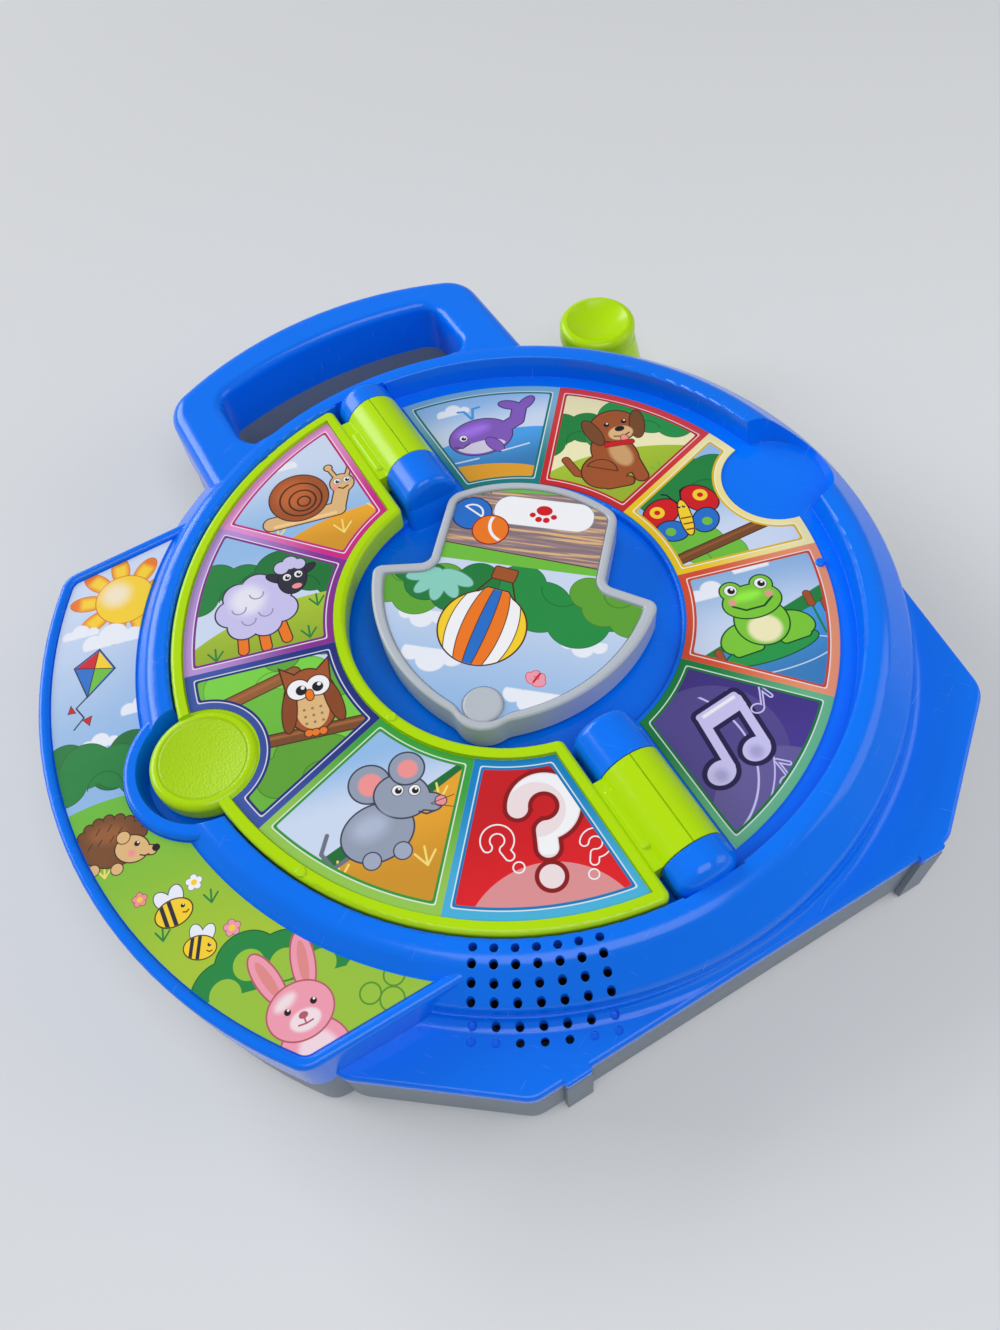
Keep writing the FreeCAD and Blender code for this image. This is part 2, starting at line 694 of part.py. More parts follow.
def rear_housing():
    small_pilot = SMALL_SCREW_R + SMALL_SCREW_FIT
    outer = fused(rear_solid(0, 0.0))
    grip = grip_block(0, -1, SPLIT_Z + 1)
    hollow = fused([part.copy() for part in rear_solid(WALL, WALL)])
    hollow = hollow.fuse(cylinder(RING_FOOT_R - REAR_STEP - WALL, SPLIT_Z - 1, SPLIT_Z + 1))
    hollow = hollow.cut(grip_block(WALL, -1, SPLIT_Z + 2))
    body = outer.cut(grip).cut(hollow)
    body = body.cut(box(-200, 200, -200, 200, SPLIT_Z, SPLIT_Z + 5))
    adds = [compartment(WALL, 0.0, BAY_TOP + WALL)]
    adds += [cylinder(BOSS_R + 1.2, 1.0, SPLIT_Z, p.x, p.y).common(outer) for p in screw_points()]
    adds.append(cylinder(POST_R + 5.0, 1.0, ARM_Z - 1.5))
    adds.append(cylinder(POST_R, 1.0, POST_TOP))
    x, y = speaker_place()
    adds.append(tube(SPEAKER_R + 2.4, SPEAKER_R + 0.3, 1.0, SPEAKER_Z + 3.0, x, y))
    adds.append(tube(SPEAKER_R - 1.0, SPEAKER_R - 3.0, 1.0, SPEAKER_Z - 0.1, x, y))
    adds += [cylinder(3.0, 1.0, BOARD_Z, p.x, p.y) for p in board_posts()]
    body = fused([body] + adds)
    body = body.cut(compartment(0, -1.0, BAY_TOP))
    body = body.cut(compartment(DOOR_EDGE, -1.0, DOOR_THICK + 0.1))
    body = body.cut(door_tab(0, -1.0, DOOR_THICK + 0.1))
    body = body.cut(cylinder(small_pilot, -1.0, 9.0, DOOR_SCREW_X))
    wells = [cylinder(SCREW_HEAD_R + 0.6, -1.0, SCREW_HEAD_Z, p.x, p.y) for p in screw_points()]
    wells += [cylinder(SCREW_R + 0.3, -1.0, SPLIT_Z + 1, p.x, p.y) for p in screw_points()]
    body = body.cut(fused(wells))
    body = body.cut(lever_slot())
    return body.cut(cylinder(small_pilot, POST_TOP - 10, POST_TOP + 1))


def speaker_place():
    p = polar(SPEAKER_RING, SPEAKER_ANGLE)
    return p.x, p.y


def board_posts():
    dx = BOARD_LENGTH / 2 - BOARD_INSET
    dy = BOARD_WIDTH / 2 - BOARD_INSET
    return [vec(BOARD_X + sx * dx, BOARD_Y + sy * dy) for sx in (-1, 1) for sy in (-1, 1)]


# ---------------------------------------------------------------- page
def half_ring(outer, inner, edge_x, z0, z1):
    """The left half of a flat ring, cut off along a straight edge beside the hinge."""
    ring = tube(outer, inner, z0, z1)
    return ring.common(box(-outer - 5, -edge_x, -outer - 5, outer + 5, z0 - 1, z1 + 1))


def sticker_field(grow, notch, z0, z1):
    """The picture area inside the lips, notched for the finger tab."""
    field = half_ring(PAGE_R - LIP_WIDTH + grow, PAGE_INNER_R + LIP_WIDTH - grow,
                      PAGE_EDGE_X + LIP_WIDTH - grow, z0, z1)
    return field.cut(cylinder(notch, z0 - 1, z1 + 1, -TAB_X))


def page_plate():
    """The lipped half ring, before the tab and the barrels join it."""
    plate = half_ring(PAGE_R, PAGE_INNER_R, PAGE_EDGE_X, PAGE_LOW, PAGE_TOP)
    plate = rounded(plate, PAGE_CORNER_R, upright)
    plate = rounded(plate, LIP_ROUND, lambda edge: level(PAGE_TOP)(edge) or level(PAGE_LOW)(edge))
    plate = plate.cut(cylinder(TAB_R - 0.5, PAGE_LOW - 1, PAGE_TOP + 1, -TAB_X))
    plate = plate.cut(sticker_field(0, TAB_R - 0.6, PAGE_TOP - LIP_DEPTH, PAGE_TOP + 1))
    return plate.cut(sticker_field(0, TAB_R - 0.6, PAGE_LOW - 1, PAGE_LOW + LIP_DEPTH))


def page_tab():
    """The round finger tab, dished on both faces."""
    top_z = PAGE_TOP - TAB_INSET
    low_z = PAGE_LOW + TAB_INSET
    tab = cylinder(TAB_R, low_z, top_z, -TAB_X)
    tab = rounded(tab, TAB_ROUND, lambda edge: edge.BoundBox.ZLength < 0.1)
    ball_r = ball_radius(TAB_R - TAB_DISH_RIM, TAB_DISH)
    upper = Part.makeSphere(ball_r, vec(-TAB_X, 0, top_z + ball_r - TAB_DISH))
    lower = Part.makeSphere(ball_r, vec(-TAB_X, 0, low_z - ball_r + TAB_DISH))
    return tab.cut(upper).cut(lower)


def page_rib(y0, y1):
    """The low stiffening bead between the page's lip and a barrel, on both faces."""
    bead = box(-PAGE_EDGE_X + 0.6, -PAGE_EDGE_X + 3.8, y0, y1, PAGE_LOW - RIB_RISE, PAGE_TOP + RIB_RISE)
    return bead.makeFillet(0.9, bead.Edges)


def page_knuckles():
    """The two barrels, their webs to the plate and the beads beside them."""
    parts = []
    for side in (1, -1):
        low, high = sorted((side * BARREL_IN, side * BARREL_OUT))
        seam_z = HINGE_Z + HINGE_R - SEAM_DEPTH
        seam = box(-SEAM_WIDTH / 2, SEAM_WIDTH / 2, low - 1, high + 1, seam_z, seam_z + 1)
        parts.append(barrel(HINGE_R, low, high).cut(seam))
        parts.append(box(-PAGE_EDGE_X - 2, 0, low, high, PAGE_LOW + 0.6, PAGE_TOP - 0.6))
        low, high = sorted((side * (BARREL_IN + 3.4), side * (BARREL_OUT - 6.0)))
        parts.append(page_rib(low, high))
    return parts


def page_nubs():
    """The two small stops on the front lips."""
    top = PAGE_TOP + NUB_RISE
    places = (polar(PAGE_R - LIP_WIDTH / 2, 207.0), polar(PAGE_INNER_R + LIP_WIDTH / 2, 199.5))
    return [rounded(cylinder(NUB_R, PAGE_TOP - 1, top, p.x, p.y), NUB_RISE, level(top)) for p in places]


def page_whole():
    whole = fused([page_plate(), page_tab()] + page_knuckles() + page_nubs())
    bores = fused(hinge_trough(HINGE_PIN_R + PIN_FIT, BARREL_IN - 1, BARREL_OUT + 1))
    return whole.cut(bores)


def page_pieces():
    """Front shell, back shell and the two caps that close the barrels round the pins."""
    whole = page_whole()
    big = 2 * PAGE_R
    cap_zone = box(0, big, -big, big, 0, 2 * PAGE_TOP)
    caps = whole.common(cap_zone)
    left = whole.cut(cap_zone)
    back_zone = box(-big, -PAGE_EDGE_X, -big, big, 0, HINGE_Z)
    return left.cut(back_zone), left.common(back_zone), caps


def page_stickers():
    notch = TAB_R + TAB_NOTCH
    front = sticker_field(-0.3, notch, PAGE_TOP - LIP_DEPTH, PAGE_TOP - LIP_DEPTH + SKIN)
    back = sticker_field(-0.3, notch, PAGE_LOW + LIP_DEPTH - SKIN, PAGE_LOW + LIP_DEPTH)
    return front, back


def hinge_pins():
    pins = hinge_trough(HINGE_PIN_R, KNUCKLE_IN + 3.5, KNUCKLE_OUT - 2.5)
    return Part.Compound(pins)


# ---------------------------------------------------------------- pictures on the housing
def recess_sticker(side):
    """The picture on the recess floor, left (-1) or right (1) of the hinge."""
    outer = PAGE_R - FIELD_INSET
    inner = PAGE_INNER_R + LIP_WIDTH
    field = half_ring(outer, inner, PAGE_EDGE_X + FIELD_GAP, FLOOR_Z, FLOOR_Z + SKIN)
    notch = LEFT_POCKET_R if side < 0 else RIGHT_POCKET_R
    field = field.cut(cylinder(notch + FIELD_GAP, FLOOR_Z - 1, FLOOR_Z + 2, -TAB_X))
    if side > 0:
        field = field.mirror(ORIGIN, X_AXIS)
    return field


def wing_sticker():
    field = wing_block(WING_RIM + 0.4, WING_FLOOR, WING_FLOOR + SKIN)
    field = field.cut(cylinder(slope_radius(WING_FLOOR) + 0.4, WING_FLOOR - 1, WING_TOP, 0))
    return field.cut(cylinder(LEFT_POCKET_R + POCKET_RIM + 0.4, WING_FLOOR - 1, WING_TOP, -TAB_X))


# ---------------------------------------------------------------- pointer
def pointer_outline(inset):
    """The broad arrow, tip along +X, drawn about the spinner axis."""
    tail_r = POINTER_TAIL_R - inset
    tail_half = POINTER_TAIL_HALF - inset
    tail_x = -math.sqrt(tail_r ** 2 - tail_half ** 2)
    notch_x = POINTER_NOTCH_X + inset
    barb_x = POINTER_BARB_X + inset * 0.9
    barb_y = POINTER_BARB_Y - inset * 1.5
    side_x = POINTER_SIDE_X - inset * 0.75
    side_y = POINTER_SIDE_Y - inset * 0.75
    tip_x = POINTER_TIP_X - inset
    nose_x = POINTER_TIP_X - 4.0 - inset
    edges = []
    for s in (1, -1):
        edges.append(line(vec(tail_x, s * tail_half), vec(notch_x, s * tail_half)))
        edges.append(line(vec(notch_x, s * tail_half), vec(barb_x, s * barb_y)))
        edges.append(arc(vec(barb_x, s * barb_y), vec(side_x, s * side_y), vec(nose_x, s * POINTER_NOSE)))
    edges.append(arc(vec(nose_x, POINTER_NOSE), vec(tip_x, 0), vec(nose_x, -POINTER_NOSE)))
    edges.append(arc(vec(tail_x, tail_half), vec(-tail_r, 0), vec(tail_x, -tail_half)))
    return Part.Wire(Part.__sortEdges__(edges))


def pointer_block(inset, z0, z1):
    """The arrow as a slab, with its barbs, tail corners and notches rounded."""
    block = prism(pointer_outline(inset), z0, z1)
    half = POINTER_TAIL_HALF - inset
    tails = [e for e in block.Edges if upright(e) and e.BoundBox.XMax < POINTER_NOTCH_X - 5]
    block = block.makeFillet(POINTER_TAIL_ROUND - inset, tails)
    barbs = [e for e in block.Edges if upright(e) and abs(e.BoundBox.YMin) > POINTER_BARB_Y - 9]
    block = block.makeFillet(max(POINTER_BARB_ROUND - inset, 0.8), barbs)
    nose = [e for e in block.Edges if upright(e) and e.BoundBox.XMax > POINTER_TIP_X - 10]
    block = block.makeFillet(POINTER_NOSE, nose)
    notch_x = POINTER_NOTCH_X + inset
    notches = [e for e in block.Edges if upright(e) and abs(e.BoundBox.XMin - notch_x) < 1e-3
               and abs(abs(e.BoundBox.YMin) - half) < 1e-3]
    return block.makeFillet(POINTER_NOTCH_ROUND + inset, notches)


def on_wall(edge, solid):
    """True for an edge that lies on the outside of a solid."""
    middle = edge.valueAt((edge.FirstParameter + edge.LastParameter) / 2)
    return solid.Shells[0].distToShape(Part.Vertex(middle))[0] < 1e-3


def pointer_body():
    """The arrow's shell with its beaded rim, the boss near the tip and the shaft."""
    floor_z = POINTER_TOP - POINTER_SINK
    outer = rounded(pointer_block(0, POINTER_BASE, POINTER_TOP), POINTER_ROUND, level(POINTER_TOP))
    sink = pointer_block(POINTER_RIM, floor_z, POINTER_TOP + 1)
    outer = rounded(outer.cut(sink), POINTER_LIP_ROUND,
                    lambda edge: level(POINTER_TOP)(edge) and on_wall(edge, sink))
    hollow = pointer_block(POINTER_SKIN, POINTER_BASE - 1, floor_z - POINTER_SKIN)
    boss = rounded(cylinder(POINTER_BOSS_R, floor_z - 1, POINTER_TOP, POINTER_BOSS_X), 0.8, level(POINTER_TOP))
    hub = cylinder(SHAFT_R, WHEEL_Z + WHEEL_THICK, floor_z - 1)
    return turned(fused([outer.cut(hollow), boss, hub]), POINTER_ANGLE)


def pointer_sticker():
    z = POINTER_TOP - POINTER_SINK
    field = pointer_block(POINTER_RIM + 0.3, z, z + SKIN)
    field = field.cut(cylinder(POINTER_BOSS_R + 0.4, z - 1, z + 1, POINTER_BOSS_X))
    return turned(field, POINTER_ANGLE)


def pointer_wheel():
    """The disc under the well floor that holds the pointer in and carries the wiper."""
    wheel = cylinder(WHEEL_R, WHEEL_Z, WHEEL_Z + WHEEL_THICK)
    places = [polar(WHEEL_R + 0.8, k * 360 / WHEEL_NOTCHES) for k in range(WHEEL_NOTCHES)]
    notches = [cylinder(WHEEL_NOTCH_R, WHEEL_Z - 1, WHEEL_Z + WHEEL_THICK + 1, p.x, p.y) for p in places]
    return wheel.cut(fused(notches)).cut(cylinder(SCREW_R + 0.1, WHEEL_Z - 1, WHEEL_Z + 5))


def position_board():
    """The ring of contact tracks under the well floor."""
    top = WELL_Z - WALL - 0.2
    return tube(TRACK_R, SHAFT_R + 4.0, top - BOARD_THICK, top)


def contact_wiper():
    """Three sprung fingers in one brass stamping that sweep the position board."""
    z0 = WHEEL_Z + WHEEL_THICK
    z1 = WELL_Z - WALL - 0.2 - BOARD_THICK - 0.1
    plate = arc_sector(WIPER_IN, WIPER_OUT, POINTER_ANGLE - 12, POINTER_ANGLE + 12, z0, z0 + WIPER_THICK)
    pitch = (WIPER_OUT - WIPER_IN) / 3
    starts = [WIPER_IN + 1 + pitch * k for k in range(3)]
    fingers = [arc_sector(r, r + pitch / 2, POINTER_ANGLE - 3, POINTER_ANGLE + 3, z0, z1) for r in starts]
    return fused([plate] + fingers)


def pointer_screw():
    head = cylinder(3.6, WHEEL_Z - 2.0, WHEEL_Z)
    return head.fuse(cylinder(1.5, WHEEL_Z - 1.0, WHEEL_Z + WHEEL_THICK)).removeSplitter()


# ---------------------------------------------------------------- lever
def lever_shield():
    """The curved apron on the arm that keeps the slot covered while the lever is at rest."""
    spare = math.degrees((ARM_HALF + 1.0) / RING_FOOT_R)
    outer = RING_FOOT_R - REAR_STEP - WALL - SHIELD_GAP
    return arc_sector(outer - 1.6, outer, -LEVER_PULL - spare - 1.5, SHIELD_AHEAD,
                      ARM_Z - 2.6, ARM_Z + ARM_THICK + 2.6)


def lever_arm():
    """The flat arm that swings about the post on the rear housing."""
    top = ARM_Z + ARM_THICK
    hub = cylinder(ARM_HUB_R, ARM_Z - ARM_STEP, top + ARM_STEP)
    bar = box(0, LEVER_R - ARM_SOCKET, -ARM_HALF, ARM_HALF, ARM_Z, top)
    rib = box(ARM_HUB_R - 3, RING_FOOT_R - 10.0, -ARM_RIB / 2, ARM_RIB / 2, ARM_Z, top + ARM_RIB)
    arm = fused([hub, bar, rib, lever_shield()])
    for side in (1, -1):
        low, high = sorted((side * ARM_RIB, side * (ARM_HALF - ARM_FLANGE)))
        arm = arm.cut(box(ARM_WINDOW_IN, ARM_WINDOW_OUT, low, high, ARM_Z - 1, top + 1))
    return turned(arm.cut(cylinder(POST_R + SHAFT_FIT, 0, POST_TOP + 5)), LEVER_ANGLE)


def lever_knob():
    """The dished finger knob on its flared stem, outside the ring."""
    neck_z = LEVER_TOP - KNOB_NECK
    foot_centre = vec(LEVER_R, -KNOB_DRIFT, LEVER_BASE)
    neck_centre = vec(LEVER_R, -KNOB_DRIFT * 0.2, neck_z)
    low = Part.Wire([Part.Circle(foot_centre, Z_AXIS, KNOB_R + KNOB_FLARE).toShape()])
    mid = Part.Wire([Part.Circle(neck_centre, Z_AXIS, KNOB_R - 0.4).toShape()])
    stem = Part.makeLoft([low, mid], True, False)
    head = rounded(cylinder(KNOB_R, neck_z, LEVER_TOP, LEVER_R), KNOB_ROUND, level(LEVER_TOP))
    ball_r = ball_radius(KNOB_R - KNOB_RIM, KNOB_DISH)
    knob = fused([stem, head]).cut(Part.makeSphere(ball_r, vec(LEVER_R, 0, LEVER_TOP + ball_r - KNOB_DISH)))
    knob = knob.cut(cylinder(RING_FOOT_R + 1.0, 0, LEVER_TOP - 5.0))
    socket = box(0, LEVER_R - ARM_SOCKET, -ARM_HALF, ARM_HALF, ARM_Z, ARM_Z + ARM_THICK)
    return turned(knob.cut(socket), LEVER_ANGLE)


def lever_washer():
    z0 = ARM_Z + ARM_THICK + 1.2
    return tube(POST_R + 3.0, 1.7, max(z0, POST_TOP), max(z0, POST_TOP) + 1.2)


def lever_screw():
    z0 = max(ARM_Z + ARM_THICK + 1.2, POST_TOP) + 1.2
    head = cylinder(3.2, z0, z0 + 2.0)
    return head.fuse(cylinder(SMALL_SCREW_R, z0 - 9.0, z0 + 1)).removeSplitter()


def lever_spring():
    """The sleeve that the torsion spring fills round the post's shoulder, under the arm."""
    inner = POST_R + 5.3
    top = ARM_Z - 1.5
    return tube(inner + SPRING_WIRE, inner, top - SPRING_WIRE * SPRING_TURNS, top)


# ---------------------------------------------------------------- power, sound and fasteners
def door_tab(outset, z0, z1):
    """The tongue of the door that its screw holds."""
    half = DOOR_TAB_HALF + outset
    return box(BAY_RIGHT_X, DOOR_SCREW_X + half, -half, half, z0, z1)


def door_screw():
    head = cylinder(2.4, 0.2, DOOR_THICK - 0.4, DOOR_SCREW_X)
    return head.fuse(cylinder(SMALL_SCREW_R, 1.0, 8.0, DOOR_SCREW_X)).removeSplitter()


def battery_door():
    gap = MOULD_GAP
    plate = compartment(DOOR_EDGE - gap, 0.0, DOOR_THICK)
    plate = plate.fuse(door_tab(-gap, 0.0, DOOR_THICK)).removeSplitter()
    plate = plate.cut(cylinder(2.6, -1.0, DOOR_THICK - 0.4, DOOR_SCREW_X))
    plate = plate.cut(cylinder(1.3, -1.0, DOOR_THICK + 1.0, DOOR_SCREW_X))
    first = BAY_LEFT_X + 3.0
    grip = [box(first + 2.4 * k, first + 1.2 + 2.4 * k, -9, 9, -1, 0.6) for k in range(4)]
    return plate.cut(fused(grip))


def batteries():
    x0 = (BAY_LEFT_X + BAY_RIGHT_X - CELL_LENGTH) / 2
    cells = []
    for side in (1, -1):
        y = side * (CELL_R + 0.9)
        z = DOOR_THICK + 0.6 + CELL_R
        can_length = CELL_LENGTH - NIPPLE_LENGTH
        can_x = x0 if side > 0 else x0 + NIPPLE_LENGTH
        nipple_x = x0 + can_length if side > 0 else x0
        can = Part.makeCylinder(CELL_R, can_length, vec(can_x, y, z), X_AXIS)
        nipple = Part.makeCylinder(NIPPLE_R, NIPPLE_LENGTH, vec(nipple_x, y, z), X_AXIS)
        cells.append(can.fuse(nipple).removeSplitter())
    return Part.Compound(cells)


def battery_contacts():
    far = BAY_HALF - 3.0
    z0 = DOOR_THICK + 2.0
    z1 = BAY_TOP - 1.0
    strips = [box(BAY_LEFT_X + 0.1, BAY_LEFT_X + 0.5, -far, far, z0, z1),
              box(BAY_RIGHT_X - 0.5, BAY_RIGHT_X - 0.1, 1.6, far, z0, z1),
              box(BAY_RIGHT_X - 0.5, BAY_RIGHT_X - 0.1, -far, -1.6, z0, z1)]
    return Part.Compound(strips)


def speaker_driver():
    """The frame, the magnet behind it and the dished cone."""
    x, y = speaker_place()
    frame = cylinder(SPEAKER_R, SPEAKER_Z, SPEAKER_Z + SPEAKER_FRAME, x, y)
    magnet = cylinder(MAGNET_R, SPEAKER_Z - MAGNET_DEPTH, SPEAKER_Z + 0.5, x, y)
    dish_z = SPEAKER_Z + 0.3 * SPEAKER_FRAME
    dish = Part.makeCone(0.35 * SPEAKER_R, SPEAKER_R - SPEAKER_LIP, 0.75 * SPEAKER_FRAME, vec(x, y, dish_z))
    return fused([frame, magnet]).cut(dish)


def circuit_board():
    dx = BOARD_LENGTH / 2
    dy = BOARD_WIDTH / 2
    return box(BOARD_X - dx, BOARD_X + dx, BOARD_Y - dy, BOARD_Y + dy, BOARD_Z, BOARD_Z + BOARD_THICK)


def board_components():
    """The sealed sound chip, two capacitors and two small packages."""
    z = BOARD_Z + BOARD_THICK
    reach = BOARD_WIDTH / 2
    blob_x = BOARD_X - BOARD_LENGTH / 5
    blob = Part.makeSphere(BLOB_BALL_R, vec(blob_x, BOARD_Y, z + BLOB_RISE - BLOB_BALL_R))
    blob = blob.common(box(blob_x - reach, blob_x + reach, BOARD_Y - reach, BOARD_Y + reach, z, z + reach))
    pieces = [blob]
    for x in (BOARD_X + PART_PITCH, BOARD_X + 2 * PART_PITCH):
        pieces.append(cylinder(CAPACITOR_R, z, z + CAPACITOR_TALL, x, BOARD_Y - PART_PITCH / 2))
        low_y = BOARD_Y + PART_PITCH / 2
        pieces.append(box(x, x + CHIP_SIDE, low_y, low_y + CHIP_SIDE, z, z + CHIP_TALL))
    return Part.Compound(pieces)


def housing_screws():
    screws = []
    for p in screw_points():
        head = cylinder(SCREW_HEAD_R, SCREW_HEAD_Z - SCREW_HEAD_THICK, SCREW_HEAD_Z, p.x, p.y)
        shank = cylinder(SCREW_R, SCREW_HEAD_Z - 0.1, SCREW_HEAD_Z + SCREW_LENGTH, p.x, p.y)
        screws.append(head.fuse(shank).removeSplitter())
    return Part.Compound(screws)


def base_pads():
    """The two rubbing pads on the flat base edge."""
    pads = [box(x - PAD_HALF, x + PAD_HALF, BASE_Y - PAD_RISE, BASE_Y + REAR_STEP, PAD_LOW_Z, SPLIT_Z - 0.2)
            for x in (PAD_LEFT_X, PAD_RIGHT_X)]
    return Part.Compound(pads)


# ---------------------------------------------------------------- build
def build():
    page_front, page_back, page_caps = page_pieces()
    front_picture, back_picture = page_stickers()
    return {
        "front_housing": front_housing(),
        "rear_housing": rear_housing(),
        "battery_door": battery_door(),
        "door_screw": door_screw(),
        "page_front_shell": page_front,
        "page_back_shell": page_back,
        "page_hinge_caps": page_caps,
        "page_front_picture": front_picture,
        "page_back_picture": back_picture,
        "hinge_pins": hinge_pins(),
        "right_recess_picture": recess_sticker(1),
        "left_recess_picture": recess_sticker(-1),
        "wing_picture": wing_sticker(),
        "pointer_body": pointer_body(),
        "pointer_picture": pointer_sticker(),
        "pointer_wheel": pointer_wheel(),
        "pointer_screw": pointer_screw(),
        "contact_wiper": contact_wiper(),
        "position_board": position_board(),
        "lever_arm": lever_arm(),
        "lever_knob": lever_knob(),
        "lever_washer": lever_washer(),
        "lever_screw": lever_screw(),
        "lever_return_spring": lever_spring(),
        "speaker_driver": speaker_driver(),
        "circuit_board": circuit_board(),
        "board_components": board_components(),
        "batteries": batteries(),
        "battery_contacts": battery_contacts(),
        "housing_screws": housing_screws(),
        "base_pads": base_pads(),
    }


def main():
    os.makedirs("parts", exist_ok=True)
    for name, shape in build().items():
        shape.exportStep("parts/" + name + ".step")
        print(name, "solids", len(shape.Solids), "volume", round(shape.Volume), "valid", shape.isValid())


main()
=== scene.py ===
import math
from functools import partialmethod, reduce

import bmesh
import bpy
from bpy.props import FloatProperty, FloatVectorProperty, PointerProperty
from mathutils import Matrix, Vector


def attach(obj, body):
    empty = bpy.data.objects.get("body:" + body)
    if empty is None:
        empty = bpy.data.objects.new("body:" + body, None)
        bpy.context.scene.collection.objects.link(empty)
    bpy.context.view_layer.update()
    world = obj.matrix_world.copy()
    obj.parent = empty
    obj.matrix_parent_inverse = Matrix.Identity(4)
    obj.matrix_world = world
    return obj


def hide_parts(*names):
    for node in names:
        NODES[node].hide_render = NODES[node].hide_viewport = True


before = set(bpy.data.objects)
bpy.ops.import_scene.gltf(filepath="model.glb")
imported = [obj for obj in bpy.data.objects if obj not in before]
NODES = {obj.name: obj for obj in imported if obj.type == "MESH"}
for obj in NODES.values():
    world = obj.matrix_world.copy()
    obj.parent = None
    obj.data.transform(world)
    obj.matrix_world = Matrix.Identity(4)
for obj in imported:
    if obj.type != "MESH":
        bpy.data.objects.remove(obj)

# Looks of an animal sound spinner toy: glossy moulded shells, printed picture labels, metal and board parts.
# Metres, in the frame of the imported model: origin on the spinner axis in the resting plane, +Z out of the
# picture side, +Y towards the carrying handle. Drawings on the labels are set out in millimetres.

bl_info = {
    "name": "Animal sound spinner toy",
    "version": (1, 0, 0),
    "blender": (4, 5, 0),
    "location": "View3D > Sidebar > Spinner Toy",
    "description": "Dresses the packed spinner toy with moulded plastic, printed pictures and a studio",
    "category": "Object",
}

MM = 0.001

# Labels, in millimetres and degrees
SECTOR = 33.0
FIRST_SECTOR = 7.5
PAGE_LABEL = (52.2, 96.3)
RECESS_LABEL = (51.9, 95.5)
PAGE_HINGE_EDGE = 14.9
RECESS_HINGE_EDGE = 12.0
NOTCH_X = 97.2
PAGE_NOTCH_R = 15.7
LEFT_POCKET_NOTCH_R = 20.3
RIGHT_POCKET_NOTCH_R = 16.8
PICTURE_TURN = -15.0
PICTURE_SIZE = 1.18
POINTER_TURN = 138.0
PRINT_SOFT = 0.08
INK_LINE = 0.4
BORDER = 2.9
BORDER_RULE = 2.0
BORDER_RULE_HALF = 0.17
BAND_FROM = 6.0
BAND_TO = 3.0
LABEL_RIM = 0.6
CORNER_SOFT = 1.3
NOTCH_SHIFT = 9.0
TURN_SHARE = 1e-7

# Moulded and fitted details, in metres
TAB_DISH = (-97.2 * MM, 0.0, 12.4 * MM)
CATCH_NUB = (88.0 * MM, -34.0 * MM, 37.2 * MM)
NUB_R = 1.5 * MM
NUB_TALL = 0.9 * MM
NUB_ROUND = 0.5 * MM
SPRING_R = 12.1 * MM
SPRING_WIRE_R = 0.78 * MM
SPRING_LOW = 5.4 * MM
SPRING_TURNS = 3
SPRING_PITCH = 1.6 * MM
SPRING_STEPS = 40
SCREW_HEAD_R = 3.0 * MM
SCREW_HEAD_LOW = 9.8 * MM
SCREW_HEAD_TALL = 2.2 * MM
SCREW_R = 1.5 * MM
SCREW_LENGTH = 22.0 * MM
SCREW_SLOT_HALF = 0.42 * MM
SCREW_SLOT_REACH = 1.8 * MM
SCREW_SLOT_DEEP = 1.3 * MM
SCREW_SLOT_DRAFT = 0.7
SCREW_RIM_FROM = 0.98 * SCREW_HEAD_R
SCREW_HEAD_ROUND = 0.5 * MM
SCREW_TIP = 1.5 * MM
SCREW_TIP_SHARE = 0.3
SCREW_TURN = 37.0
SCREW_RING_R = 108.25
SCREW_RING_ANGLES = (146.0, 222.0, 268.0)
SCREW_OTHERS = ((68.34, -65.99), (50.5, 112.0), (-50.5, 112.0), (-127.6, 34.0), (-127.6, -34.0))
BOARD_TOP = 16.6 * MM
SPEAKER_AT = (-44.10 * MM, -88.07 * MM)
CELL_MIDDLE = -47.0 * MM
CELL_BAND_FROM = 10.9 * MM
CELL_RULE_AT = 9.6 * MM
CELL_BARE_FROM = 23.8 * MM
RING_PITCH = 3.6 * MM
TRACE_SCALE = 190.0
PAD_SCALE = 240.0
CAN_TALL = 5.9 * MM
CONE_R = 17.3 * MM
CONE_RIBS = 3200.0

# An edge that turns by more degrees than this is shaded sharp
SHARP_FROM = 40.0

# Finishes: tints are factors on the named colour; marks have an angle, a length, a width and a rarity
SPECULAR = 0.35
FLOW_TINTS = (0.95, 1.04)
FLOW_SCALE = 9.0
SCUFF = 0.12
SCUFF_SCALE = 60.0
MARK_SCORE = (28.0, 12 * MM, 0.3 * MM, 0.76)
MARK_CROSS = (-51.0, 8 * MM, 0.25 * MM, 0.765)
MARK_FADE = 0.02
MARK_TINT = 0.25
MARK_DEEP = 0.01 * MM
PEEL = 0.02 * MM
PEEL_SIZE = 3.5 * MM
DISH_PEBBLE = 0.2 * MM
DISH_PEBBLE_SIZE = 0.7 * MM
DISH_RIM_DEEP = 0.15 * MM
# Factor on the lime colour for the painted shade in the thumb dish and along its rim
DISH_SHADE_TINT = 0.72
FILM_SPECULAR = 0.5
FILM_ROUGH = 0.27
FILM_HAZE = 0.14
HAZE_SCALE = 70.0
FILM_GRAIN = 0.02
FILM_GRAIN_SIZE = 0.45 * MM
FILM_RIPPLE = 0.12
FILM_RIPPLE_SIZE = 11.0 * MM
GREY_ROUGH = 0.42
GREY_GRAIN = 0.05
POINTER_ROUGH = 0.3
WHEEL_BLACK = (38, 40, 44)
SCREW_STEEL = (0.55, 0.56, 0.58)
PIN_STEEL = (0.60, 0.61, 0.62)
WASHER_STEEL = (0.62, 0.63, 0.64)
SPRING_STEEL = (0.45, 0.46, 0.49)
CELL_STEEL = (0.58, 0.58, 0.6)
CONTACT_STEEL = (0.68, 0.68, 0.66)
TINNED = (0.6, 0.6, 0.62)
